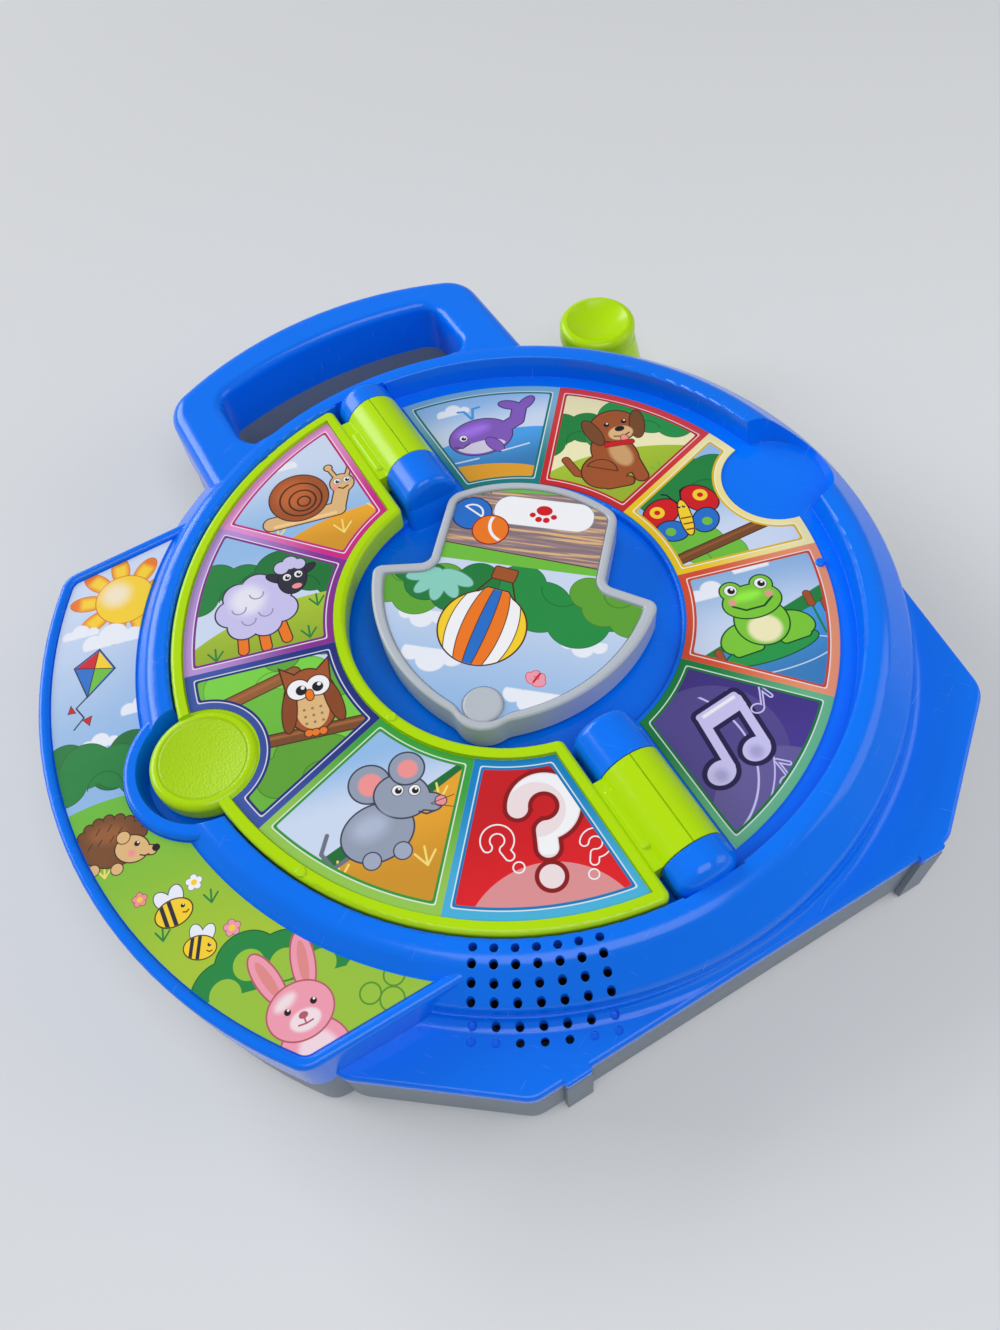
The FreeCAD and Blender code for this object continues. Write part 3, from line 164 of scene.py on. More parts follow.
WIPER_BRASS = (0.75, 0.55, 0.24)

# Stage: each lamp's place, target, size and power in watts
LAMPS = {
    "window_lamp": ((-1.2, 1.75, 1.05), (0.0, 0.0, 0.03), (2.1, 1.1), 38.0),
    "top_lamp": ((-0.1, -0.45, 1.0), (0.0, 0.0, 0.0), (0.8, 0.7), 5.0),
    "fill_lamp": ((0.8, -0.35, 0.5), (0.0, 0.0, 0.03), (0.6, 0.6), 1.8),
}
WORLD_LEVEL = 0.34
FLOOR_R = 4.0
PAPER_TINT = 0.985
FLOOR_BELOW = -0.1 * MM
CAMERA_PLACE = (-0.0774, -0.1651, 0.3028)
CAMERA_LENS = 29.14
CAMERA_SENSOR = 36.0
CAMERA_TURN = -30.0
CAMERA_YAW = 4.06
CAMERA_PITCH = 31.69


# ------------------------------------------------------------------ shader arithmetic
class Value:
    """A number socket that takes part in Python arithmetic."""

    def __init__(self, recipe, socket):
        self.recipe = recipe
        self.socket = socket

    def math(self, operation, *others):
        return self.recipe.node("ShaderNodeMath", {"operation": operation}, dict(enumerate((self, *others))))

    def __rsub__(self, other):
        return self.recipe.node("ShaderNodeMath", {"operation": "SUBTRACT"}, {0: other, 1: self})

    __add__ = __radd__ = partialmethod(math, "ADD")
    __sub__ = partialmethod(math, "SUBTRACT")
    __mul__ = __rmul__ = partialmethod(math, "MULTIPLY")
    __truediv__ = partialmethod(math, "DIVIDE")
    __neg__ = partialmethod(math, "MULTIPLY", -1.0)
    __abs__ = partialmethod(math, "ABSOLUTE")
    lower = partialmethod(math, "MINIMUM")
    upper = partialmethod(math, "MAXIMUM")
    sine = partialmethod(math, "SINE")

    def between(self, low, high):
        """0 up to low, 1 from high, and smooth between them. Low may be the larger."""
        return self.recipe.node("ShaderNodeMapRange", {"interpolation_type": "SMOOTHSTEP"},
                                {"Value": self, "From Min": low, "From Max": high})


class Recipe:
    """Builds one material's node tree, or fills the node group that it is given."""

    def __init__(self, name, group=None):
        self.material = None
        self.tree = group
        if group is None:
            self.material = bpy.data.materials.new(name)
            self.material.use_nodes = True
            self.tree = self.material.node_tree
            self.tree.nodes.clear()

    def node(self, kind, settings=None, inputs=None, output=0):
        """Adds a node: its settings first, then the values or links of its sockets."""
        made = self.tree.nodes.new(kind)
        for key, value in (settings or {}).items():
            setattr(made, key, value)
        for key, value in (inputs or {}).items():
            socket = made.inputs[key]
            if isinstance(value, Value):
                self.tree.links.new(value.socket, socket)
            elif socket.type == "RGBA" and len(value) == 3:
                socket.default_value = (*value, 1.0)
            else:
                socket.default_value = value
        return Value(self, made.outputs[output]) if made.outputs else None

    def place(self):
        """Object coordinates in metres."""
        return self.node("ShaderNodeTexCoord", output="Object")

    def vector_math(self, operation, *values, output="Vector"):
        return self.node("ShaderNodeVectorMath", {"operation": operation}, dict(enumerate(values)), output)

    def scaled(self, vector, factors):
        return self.vector_math("MULTIPLY", vector, factors)

    def turned(self, vector, centre, degrees, size):
        """Coordinates measured from centre, along axes turned by degrees, in units of size."""
        return self.node("ShaderNodeMapping", {"vector_type": "TEXTURE"},
                         {"Vector": vector, "Location": centre,
                          "Rotation": (0.0, 0.0, math.radians(degrees)), "Scale": size})

    def length(self, vector):
        return self.vector_math("LENGTH", vector, output="Value")

    def distance(self, vector, other):
        return self.vector_math("DISTANCE", vector, other, output="Value")

    def dot(self, vector, direction):
        return self.vector_math("DOT_PRODUCT", vector, direction, output="Value")

    def mix(self, factor, under, over):
        """The colour under where factor is 0 and the colour over where it is 1."""
        return self.node("ShaderNodeMix", {"data_type": "RGBA"}, {0: factor, 6: under, 7: over}, output=2)

    def noise(self, vector, scale, detail=2.0):
        return self.node("ShaderNodeTexNoise", None, {"Vector": vector, "Scale": scale, "Detail": detail})

    def streaks(self, vector, degrees, along, across, rarity):
        """Sparse hairline marks that run at one angle: 1 on a mark."""
        drawn = self.turned(vector, (0.0, 0.0, 0.0), degrees, (along, across, along))
        return self.noise(drawn, 1.0, 1.0).between(rarity, rarity + MARK_FADE)

    def bump(self, height, distance, **normal):
        return self.node("ShaderNodeBump", None, {"Height": height, "Distance": distance, **normal})

    def soft_edges(self, radius):
        """The surface normal with every sharp edge rounded off by radius."""
        return self.node("ShaderNodeBevel", {"samples": 4}, {"Radius": radius})

    def surface(self, **sockets):
        """A Principled surface; underscores in a name stand for spaces."""
        inputs = {name.replace("_", " "): value for name, value in sockets.items()}
        shader = self.node("ShaderNodeBsdfPrincipled", None, inputs)
        self.node("ShaderNodeOutputMaterial", None, {"Surface": shader})
        return self.material


def srgb(red, green, blue):
    """A linear colour from 0 to 255 display values."""
    channels = []
    for level in (red, green, blue):
        share = level / 255.0
        channels.append(share / 12.92 if share <= 0.04045 else ((share + 0.055) / 1.055) ** 2.4)
    return tuple(channels)


def toned(colour, factor):
    return tuple(min(1.0, channel * factor) for channel in colour)


def blended(first, second, share):
    return tuple(a + (b - a) * share for a, b in zip(first, second))


def polar(degrees, across, up=None):
    """The point at an angle on a circle, or on an oval of two half sizes."""
    turn = math.radians(degrees)
    return across * math.cos(turn), (across if up is None else up) * math.sin(turn)


# ------------------------------------------------------------------ printing inks
SKY = srgb(150, 192, 238)
SKY_PALE = srgb(208, 222, 246)
CLOUD = srgb(238, 242, 252)
WATER = srgb(66, 146, 214)
OCHRE = srgb(232, 164, 42)
STRAW = srgb(250, 224, 120)
SAND = srgb(228, 186, 128)
RUST = srgb(164, 84, 40)
UMBER = srgb(122, 74, 38)
BARK = srgb(70, 36, 18)
LEAF = srgb(30, 132, 62)
GRASS = srgb(112, 194, 62)
MEADOW = srgb(172, 202, 52)
FROG = srgb(126, 204, 56)
AQUA = srgb(140, 212, 196)
LILAC = srgb(204, 198, 242)
VIOLET = srgb(132, 92, 190)
NIGHT = srgb(66, 50, 132)
NAVY = srgb(34, 60, 150)
BLUE_INK = srgb(34, 112, 206)
RED = srgb(212, 20, 30)
BLUSH = srgb(246, 150, 150)
PINK = srgb(244, 158, 178)
ORANGE = srgb(242, 122, 28)
SUN = srgb(252, 212, 44)
CREAM = srgb(246, 240, 192)
MOUSE = srgb(150, 160, 182)
SLATE = srgb(58, 64, 84)
COAL = srgb(40, 42, 60)
INK = srgb(24, 18, 26)
WHITE = srgb(248, 248, 252)


# ------------------------------------------------------------------ settings
def colour_setting(name, description, *levels):
    return FloatVectorProperty(name=name, description=description, subtype="COLOR", default=srgb(*levels))


class SpinnerToyColours(bpy.types.PropertyGroup):
    blue: colour_setting("Blue", "Front housing plastic", 0, 118, 250)
    lime: colour_setting("Lime", "Page, tab and lever plastic", 182, 228, 0)
    pointer: colour_setting("Pointer", "Pointer plastic", 188, 195, 204)
    rear: colour_setting("Rear", "Rear housing plastic", 122, 134, 148)
    floor: colour_setting("Floor", "Floor and backdrop", 224, 226, 229)


class SpinnerToyFinish(bpy.types.PropertyGroup):
    edge: FloatProperty(name="Edge softness", description="Radius that moulded edges are rounded to",
                        default=0.35 * MM, unit="LENGTH")
    gloss: FloatProperty(name="Gloss roughness", description="Roughness of the polished plastic",
                         default=0.18, min=0.0, max=1.0)
    wear: FloatProperty(name="Wear", description="Strength of hairline scratches", default=0.5,
                        min=0.0, max=1.0)
    lamp: FloatProperty(name="Lamp level", description="Factor on all lamps", default=1.0, min=0.0)


def colours():
    return bpy.context.scene.spinner_toy_colours


def finish():
    return bpy.context.scene.spinner_toy_finish


def dress(material, *names):
    """Gives CAD nodes a material through their object's slots."""
    for name in names:
        node = NODES[name]
        if not node.material_slots:
            node.data.materials.append(material)
        for slot in node.material_slots:
            slot.material = material


def set_in_order(shape):
    """Lists edges and faces by their lowest vertices, so that each run writes the same mesh."""
    shape.verts.index_update()

    def rank(part):
        place = 0
        for index in sorted(vert.index for vert in part.verts)[:3]:
            place = place * len(shape.verts) + index
        return place

    shape.edges.sort(key=rank)
    shape.faces.sort(key=rank)


def fit(name, shape, material, body, slot, *replaced):
    """Turns a bmesh into a finished piece on a body."""
    bmesh.ops.recalc_face_normals(shape, faces=shape.faces[:])
    set_in_order(shape)
    mesh = bpy.data.meshes.new(name)
    shape.to_mesh(mesh)
    shape.free()
    mesh.shade_smooth()
    mesh.set_sharp_from_angle(angle=math.radians(SHARP_FROM))
    mesh.materials.append(material)
    piece = bpy.data.objects.new(name, mesh)
    bpy.context.scene.collection.objects.link(piece)
    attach(piece, body)
    if replaced:
        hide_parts(*replaced)
    return piece


# ------------------------------------------------------------------ plastics and metals
def moulded(name, colour, gloss, grain=0.0, grain_size=0.6 * MM, dish=None):
    """Injection-moulded plastic: slight flow tone, hairline scratches, orange peel and softened edges.
    grain is in millimetres; dish is the x, y and radius of a pebbled thumb dish with a scored rim. The dish
    and its rim line are painted darker as painted shade."""
    r = Recipe(name)
    p = r.place()
    flow = r.noise(p, FLOW_SCALE, 3.0).between(0.3, 0.7)
    tone = r.mix(flow, *(toned(colour, tint) for tint in FLOW_TINTS))
    marks = r.streaks(p, *MARK_SCORE)
    marks = marks.upper(r.streaks(p, *MARK_CROSS)) * finish().wear
    tone = r.mix(marks * MARK_TINT, tone, blended(colour, (1.0, 1.0, 1.0), 0.5))
    rough = r.noise(p, SCUFF_SCALE, 4.0) * SCUFF + marks * 0.2 + (gloss - SCUFF / 2)
    height = r.noise(p, 1.0 / PEEL_SIZE) * PEEL - marks * MARK_DEEP
    if grain:
        height = height + r.noise(p, 1.0 / grain_size) * (grain * MM)
    if dish:
        flat = r.scaled(p, (1.0, 1.0, 0.0))
        x, y, radius = dish
        inside = r.distance(flat, (x, y, 0.0)).between(radius, radius - 0.4 * MM)
        rim = abs(r.distance(flat, (x, y, 0.0)) - radius).between(0.5 * MM, 0.1 * MM)
        pebble = r.noise(p, 1.0 / DISH_PEBBLE_SIZE, 1.0)
        height = height + pebble * inside * DISH_PEBBLE - rim * DISH_RIM_DEEP
        rough = rough + inside * 0.2
        # Painted shade: the recessed dish and the line along its rim are painted darker
        tone = r.mix((inside * 0.3).upper(rim * 0.55), tone, toned(colour, DISH_SHADE_TINT))
    return r.surface(Base_Color=tone, Roughness=rough, Specular_IOR_Level=SPECULAR,
                     Normal=r.bump(height, 1.0, Normal=r.soft_edges(finish().edge)))


def metal(name, colour, roughness, brush=0.0):
    """Plated or drawn metal with a faint grain and dull patches."""
    r = Recipe(name)
    p = r.place()
    tarnish = r.noise(p, 300.0, 3.0)
    tone = r.mix(tarnish.between(0.4, 0.8), colour, toned(colour, 0.8))
    grain = r.noise(r.scaled(p, (4000.0, 4000.0, 300.0)), 1.0, 1.0)
    return r.surface(Base_Color=tone, Metallic=1.0, Roughness=tarnish * 0.15 + roughness,
                     Normal=r.bump(grain, brush * MM + 0.002 * MM))


def cell_wrap():
    """Printed sleeve of a battery: dark body, copper band at the plus end, bare steel at both ends."""
    r = Recipe("cell_wrap")
    p = r.place()
    along = r.dot(p, (1.0, 0.0, 0.0)) - CELL_MIDDLE
    side = r.dot(p, (0.0, 1.0, 0.0)).math("SIGN")
    band = (along * side).between(CELL_BAND_FROM, CELL_BAND_FROM + 0.2 * MM)
    bare = abs(along).between(CELL_BARE_FROM, CELL_BARE_FROM + 0.2 * MM)
    rule = abs(along * side - CELL_RULE_AT).between(0.3 * MM, 0.26 * MM)
    grain = r.noise(r.scaled(p, (60.0, 900.0, 900.0)), 1.0)
    tone = r.mix(band, srgb(26, 40, 56), srgb(196, 126, 62))
    tone = r.mix(rule, tone, srgb(210, 212, 216))
    tone = r.mix(bare, tone, CELL_STEEL)
    return r.surface(Base_Color=tone, Metallic=band.upper(bare) * 0.9, Roughness=grain * 0.15 + 0.24,
                     Normal=r.bump(grain, 0.01 * MM))


def printed_board(name, ground, rings):
    """Laminate with gilded copper: contact rings about the spinner axis, or traces and pads."""
    r = Recipe(name)
    p = r.place()
    weave = r.noise(p, 1800.0)
    tone = r.mix(weave, toned(ground, 0.85), toned(ground, 1.15))
    if rings:
        away = r.length(r.scaled(p, (1.0, 1.0, 0.0)))
        copper = (away * (2.0 * math.pi / RING_PITCH)).sine().between(-0.1, 0.1)
    else:
        lines = r.node("ShaderNodeTexBrick", {"offset": 0.37, "squash": 1.4, "squash_frequency": 3},
                       {"Vector": p, "Scale": TRACE_SCALE, "Mortar Size": 0.045, "Mortar Smooth": 0.0},
                       "Fac")
        dots = r.node("ShaderNodeTexVoronoi", {"voronoi_dimensions": "2D"},
                      {"Vector": p, "Scale": PAD_SCALE, "Randomness": 0.35}, "Distance")
        copper = (lines * 0.35).upper(dots.between(0.17, 0.15))
    tone = r.mix(copper, tone, srgb(206, 186, 120))
    return r.surface(Base_Color=tone, Metallic=copper * 0.8, Roughness=weave * 0.1 + 0.35,
                     Normal=r.bump(copper, 0.03 * MM))


def board_parts():
    """Black sealed chips, and capacitors with a tin top."""
    r = Recipe("board_parts")
    p = r.place()
    grain = r.noise(p, 2500.0)
    top = r.dot(p, (0.0, 0.0, 1.0)).between(BOARD_TOP + CAN_TALL, BOARD_TOP + CAN_TALL + 0.05 * MM)
    tone = r.mix(grain, srgb(26, 27, 30), srgb(42, 43, 46))
    tone = r.mix(top, tone, TINNED)
    return r.surface(Base_Color=tone, Metallic=top, Roughness=grain * 0.2 + 0.35,
                     Normal=r.bump(grain, 0.02 * MM))


def speaker_finish():
    """Black pulp cone with ribs inside a dark steel basket."""
    r = Recipe("speaker_cone")
    p = r.place()
    flat = r.scaled(p, (1.0, 1.0, 0.0))
    away = r.distance(flat, (*SPEAKER_AT, 0.0))
    cone = away.between(CONE_R + 0.3 * MM, CONE_R)
    ribs = (away * CONE_RIBS).sine() * cone
    fibre = r.noise(p, 1500.0, 3.0)
    tone = r.mix(fibre, srgb(20, 20, 22), srgb(44, 44, 48))
    tone = r.mix(cone, srgb(72, 74, 78), tone)
    return r.surface(Base_Color=tone, Metallic=(1.0 - cone) * 0.7, Roughness=fibre * 0.3 + 0.45,
                     Normal=r.bump(ribs * 0.3 + fibre * 0.2, 0.15 * MM))


# ------------------------------------------------------------------ drawing on a label
class Spot:
    """A place on a print with its own origin and turn, in millimetres.
    Its shapes are distances: below 0 inside and above 0 outside."""

    def __init__(self, art, vector):
        self.art = art
        self.recipe = art.recipe
        self.vector = vector

    def at(self, x, y, degrees=0.0, size=1.0):
        return Spot(self.art, self.recipe.turned(self.vector, (x, y, 0.0), degrees, (size, size, 1.0)))

    def disc(self, x, y, radius):
        return self.recipe.distance(self.vector, (x, y, 0.0)) - radius

    def discs(self, *places):
        return union(*(self.disc(*place) for place in places))

    def oval(self, x, y, across, up, tilt=0.0):
        """An ellipse from its two half sizes."""
        unit = self.recipe.turned(self.vector, (x, y, 0.0), tilt, (across, up, 1.0))
        near = self.recipe.length(unit)
        slope = self.recipe.length(self.recipe.scaled(unit, (1.0 / across, 1.0 / up, 0.0)))
        return (near * (near - 1.0)) / slope

    def puffs(self, x, y, size, *places):
        """Discs measured from x, y in units of size."""
        return self.discs(*((x + dx * size, y + dy * size, radius * size) for dx, dy, radius in places))

    def ovals(self, *places):
        return union(*(self.oval(*place) for place in places))

    def rays(self, x, y, away, across, up, turns):
        """Ovals set round a point, each pointing outwards."""
        return self.ovals(*((x + dx, y + dy, across, up, turn)
                            for turn, (dx, dy) in ((turn, polar(turn, away)) for turn in turns)))

    def arc(self, x, y, radius, line, *side):
        """The part of a circle's line that lies behind a side, which is given as for beyond."""
        return overlap(abs(self.disc(x, y, radius)) - line, self.beyond(*side))

    def bar(self, x, y, across, up, corner, tilt=0.0):
        """A rectangle of half sizes across and up, grown by its round corner."""
        local = self.recipe.turned(self.vector, (x, y, 0.0), tilt, (1.0, 1.0, 1.0))
        return self.off(local, (-across, -up, 0.0), (across, up, 0.0)) - corner

    def limb(self, x0, y0, x1, y1, radius):
        """A round-ended stroke from one point to another."""
        tilt = math.degrees(math.atan2(y1 - y0, x1 - x0))
        local = self.recipe.turned(self.vector, (x0, y0, 0.0), tilt, (1.0, 1.0, 1.0))
        return self.off(local, (0.0, 0.0, 0.0), (math.hypot(x1 - x0, y1 - y0), 0.0, 0.0)) - radius

    def off(self, local, low, high):
        """Distance from the upright rectangle between two corners."""
        held = self.recipe.vector_math("MAXIMUM", local, low)
        held = self.recipe.vector_math("MINIMUM", held, high)
        return self.recipe.distance(local, held)

    def limbs(self, radius, *ends):
        """Several strokes, each from its two ends."""
        return union(*(self.limb(*places, radius) for places in ends))

    def trail(self, radius, *points):
        """One stroke through several points."""
        return self.limbs(radius, *((*start, *end) for start, end in zip(points, points[1:])))

    def beyond(self, x, y, degrees):
        """What lies behind a line through x, y; degrees is the way that its open side faces."""
        way = (*polar(degrees, 1.0), 0.0)
        return self.recipe.dot(self.vector, way) - (x * way[0] + y * way[1])

    def wedge(self, *corners):
        """A straight-sided shape from its corners, listed anticlockwise."""
        return overlap(*(self.beyond(x0, y0, math.degrees(math.atan2(y1 - y0, x1 - x0)) - 90.0)
                         for (x0, y0), (x1, y1) in zip(corners, corners[1:] + corners[:1])))

    def fade(self, y0, y1, low, high):
        """A colour that changes from y0 to y1 upwards."""
        rise = self.recipe.dot(self.vector, (0.0, 1.0, 0.0))
        return self.recipe.mix(rise.between(y0, y1), low, high)


class Art:
    """A print: one running colour that shapes are painted over, from the back to the front."""

    def __init__(self, recipe, ground):
        self.recipe = recipe
        self.colour = ground

    def sheet(self, side=1.0):
        """The whole label, measured from the spinner axis; side -1 sees it from behind."""
        scale = 1.0 / MM
        return Spot(self, self.recipe.scaled(self.recipe.place(), (side * scale, scale, 0.0)))

    def drawing(self, painter, spot, **options):
        """What a painter draws over the running colour, as a node group of its own."""
        group = bpy.data.node_groups.new(painter.__name__, "ShaderNodeTree")
        for name, way, kind in (("Place", "INPUT", "Vector"), ("Under", "INPUT", "Color"),
                                ("Ink", "OUTPUT", "Color")):
            group.interface.new_socket(name, in_out=way, socket_type="NodeSocket" + kind)
        inner = Recipe(painter.__name__, group)
        under = inner.node("NodeGroupInput", output="Under")
        place = inner.node("NodeGroupInput", output="Place")
        # The tiny share of the colour makes the drawing wait its turn, so few values are held at once.
        place = inner.vector_math("MULTIPLY_ADD", under, (TURN_SHARE,) * 3, place)
        art = Art(inner, under)
        painter(Spot(art, place), **options)
        inner.node("NodeGroupOutput", None, {"Ink": art.colour})
        return self.recipe.node("ShaderNodeGroup", {"node_tree": group},
                                {"Place": spot.vector, "Under": self.colour})

    def stamp(self, painter, spot, **options):
        self.colour = self.drawing(painter, spot, **options)

    def fill(self, shape, colour, soft=PRINT_SOFT):
        self.colour = self.recipe.mix(shape.between(soft, -soft), self.colour, colour)

    def inked(self, shape, colour, ink=None, line=INK_LINE):
        """A filled shape with a drawn outline round it."""
        self.fill(shape - line, ink or toned(colour, 0.25))
        self.fill(shape, colour)

    def stroke(self, shape, line, colour):
        """A line along the edge of a shape."""
        self.fill(abs(shape) - line, colour)


def union(*shapes):
    return reduce(Value.lower, shapes)


def overlap(*shapes):
    return reduce(Value.upper, shapes)


# ------------------------------------------------------------------ scenery
def paint_cloud(spot, x, y, size=1.0):
    puffs = spot.puffs(x, y, size, (-4, 0, 2.2), (0, 1, 3.0), (4, 0, 2.0))
    spot.art.fill(overlap(puffs, spot.beyond(x, y - 1.2 * size, 270.0)), CLOUD, 0.3)


def paint_bush(spot, x, y, size, colour):
    puffs = spot.puffs(x, y, size, (-6, 0, 4), (-2, 3, 4.4), (3.5, 1.5, 4.2), (7, -1.5, 3.6))
    spot.art.inked(puffs, colour, toned(colour, 0.6), 0.25)
    fold = spot.arc(x + size, y - 2 * size, 3 * size, 0.16, x, y - 2 * size, 270.0)
    spot.art.fill(fold, toned(colour, 0.6))


def paint_tuft(spot, x, y, colour, size=1.0):
    blades = ((x, y, x + dx * size, y + dy * size) for dx, dy in ((-2.2, 3.2), (0.2, 4.4), (2.4, 3.0)))
    spot.art.fill(spot.limbs(0.25, *blades), colour)


def paint_eyes(spot, places, size=1.0, white=True):
    """Round dark eyes with a glint, on white or bare."""
    if white:
        spot.art.inked(spot.discs(*((x, y, 1.15 * size) for x, y in places)), WHITE, INK, 0.16)
    spot.art.fill(spot.discs(*((x + 0.12 * size, y - 0.1 * size, 0.72 * size) for x, y in places)), INK)
    spot.art.fill(spot.discs(*((x + 0.36 * size, y + 0.24 * size, 0.26 * size) for x, y in places)), WHITE)


def paint_flower(spot, x, y, petals, size=1.0):
    points = (polar(turn, 1.5 * size) for turn in range(90, 450, 72))
    spot.art.inked(spot.discs(*((x + dx, y + dy, 0.95 * size) for dx, dy in points)), petals, line=0.18)
    spot.art.fill(spot.disc(x, y, 0.9 * size), SUN)


# ------------------------------------------------------------------ pictures of the sectors
def paint_snail(spot, shell=RUST, skin=SAND):
    art = spot.art
    art.colour = spot.fade(-10, 16, SKY, SKY_PALE)
    paint_cloud(spot, -9, 13, 0.8)
    art.fill(spot.oval(8, -22, 30, 14.5, 8), spot.fade(-17, -6, toned(OCHRE, 0.85), toned(OCHRE, 1.15)))
    for x, y in ((-13, -11), (14, -10), (4, -14.5)):
        paint_tuft(spot, x, y, STRAW)
    spot = spot.at(-3.4, -0.6, 0.0, 0.9)
    body = union(spot.limb(-12, -6, 8, -6, 2.3), spot.limb(8, -6, 10.5, 1, 2.1), spot.disc(11, 3.4, 3.5))
    feelers = union(spot.limb(10, 5, 8.2, 10, 0.5), spot.limb(12.5, 5, 14.5, 9.6, 0.5),
                    spot.discs((8.0, 10.6, 1.1), (14.8, 10.2, 1.1)))
    art.inked(union(body, feelers), skin, BARK)
    art.fill(spot.limb(-11, -7.3, 7, -7.3, 0.5), toned(skin, 1.35), 0.4)
    art.inked(spot.disc(-2.5, 1.8, 8.8), shell, BARK)
    art.fill(spot.disc(-4.0, 3.6, 5.4), toned(shell, 1.5), 2.4)
    for x, y, radius in ((-2.0, 1.0, 6.3), (-1.6, 0.4, 4.0), (-1.2, 0.0, 1.9)):
        art.stroke(spot.disc(x, y, radius), 0.28, BARK)
    paint_eyes(spot, ((9.7, 4.4), (12.7, 4.4)), 0.95)
    art.fill(spot.trail(0.24, (9.6, 2.0), (11, 1.2), (12.6, 2.0)), BARK)
    art.fill(spot.disc(8.6, 2.2, 0.9), BLUSH, 0.5)


def paint_sheep(spot, fleece_tone=LILAC):
    art = spot.art
    art.colour = spot.fade(0, 16, SKY_PALE, SKY)
    paint_bush(spot, -8, 5, 1.3, LEAF)
    paint_bush(spot, 9, 3, 1.5, toned(LEAF, 0.8))
    art.fill(spot.oval(4, -20, 34, 17, 10), spot.fade(-17, -1, toned(MEADOW, 0.75), MEADOW))
    for x, y in ((13.5, -6), (10, -15), (-13.5, -15)):
        paint_tuft(spot, x, y, LEAF, 0.8)
    legs = spot.limbs(1.2, (-6, -8, -6.5, -14), (-1, -8, -0.8, -14.5), (3.5, -7, 4.5, -13.5))
    art.inked(legs, ORANGE, INK, 0.3)
    wool = spot.discs((-8, -2, 4), (-5.5, 2.5, 4), (-0.5, 4, 4.2), (4, 1.5, 4), (4.5, -4, 4), (0, -7, 4),
                      (-5.5, -6.5, 4), (-2, -1, 6))
    art.inked(wool, fleece_tone, COAL)
    art.fill(spot.disc(-3.5, 1, 4.4), blended(fleece_tone, WHITE, 0.7), 2.0)
    for x, y in ((-6, -1), (-1, 2.5), (0.5, -3.5), (-4, -5)):
        art.fill(spot.arc(x, y, 1.8, 0.18, x, y, 90.0), toned(fleece_tone, 0.5))
    art.inked(spot.ovals((4.4, 5.5, 2.6, 1.1, -35), (12.6, 6.2, 2.6, 1.1, 25)), COAL, INK, 0.25)
    art.inked(spot.oval(8.6, 4.2, 3.6, 4.6, -12), COAL, INK, 0.3)
    art.inked(spot.discs((6.4, 8.4, 1.9), (8.8, 9.4, 2.0), (11.0, 8.4, 1.6)), fleece_tone, COAL, 0.3)
    paint_eyes(spot, ((7.3, 5.0), (10.3, 5.2)), 0.9)
    art.fill(spot.oval(9.4, 1.6, 1.3, 0.8), BLUSH)


def paint_owl(spot, coat=RUST, breast=SAND, leaves=GRASS):
    art = spot.art
    art.colour = spot.fade(-16, 14, toned(leaves, 0.9), leaves)
    art.fill(spot.disc(9, 13, 7), SKY_PALE, 0.6)
    for x, y, size, shade in ((-9, 10, 1.5, 1.25), (10, -11, 1.8, 1.2), (15, 5, 1.2, 0.75),
                              (-2, -17, 1.3, 0.7), (3, 16, 1.2, 0.75)):
        paint_bush(spot, x, y, size, toned(leaves, shade))
    art.inked(spot.limb(-27, 3.6, -2, 9.8, 1.5), toned(UMBER, 1.6), BARK, 0.3)
    art.inked(spot.limb(-20, -6.8, 22, -8.8, 1.5), UMBER, BARK, 0.3)
    art.fill(spot.limbs(0.3, (-26, 4.2, -3, 10.0), (-18, -6.3, 20, -8.1)), toned(UMBER, 2.2), 0.5)
    owl = spot.at(-6.8, -6.6)
    art.inked(union(owl.oval(7.5, 7.5, 6.2, 8.8), owl.wedge((2.2, 11.5), (6.5, 14.0), (1.6, 18.0)),
                    owl.wedge((8.5, 14.0), (12.8, 11.5), (13.4, 18))), coat, BARK)
    art.fill(owl.oval(7.5, 4.8, 3.9, 5.2), breast)
    art.fill(owl.discs(*((5.5 + 1.0 * k, 1.4 + 1.9 * row - 0.2 * (k % 2), 0.36)
                         for row in range(3) for k in (0, 2, 4))), toned(breast, 0.4))
    art.inked(owl.ovals((2.1, 6.0, 1.7, 6.0, -10), (12.9, 6.0, 1.7, 6.0, 10)), toned(coat, 0.7), BARK, 0.3)
    art.inked(owl.discs((5.1, 11.2, 2.7), (9.9, 11.2, 2.7)), WHITE, BARK, 0.3)
    paint_eyes(owl, ((5.5, 11.0), (9.5, 11.0)), 1.9, False)
    art.inked(owl.oval(7.5, 9.0, 0.9, 1.5), ORANGE, BARK, 0.25)
    art.inked(owl.discs((5.6, -1.2, 0.9), (7.2, -1.4, 0.9), (9.0, -1.5, 0.9)), ORANGE, BARK, 0.25)


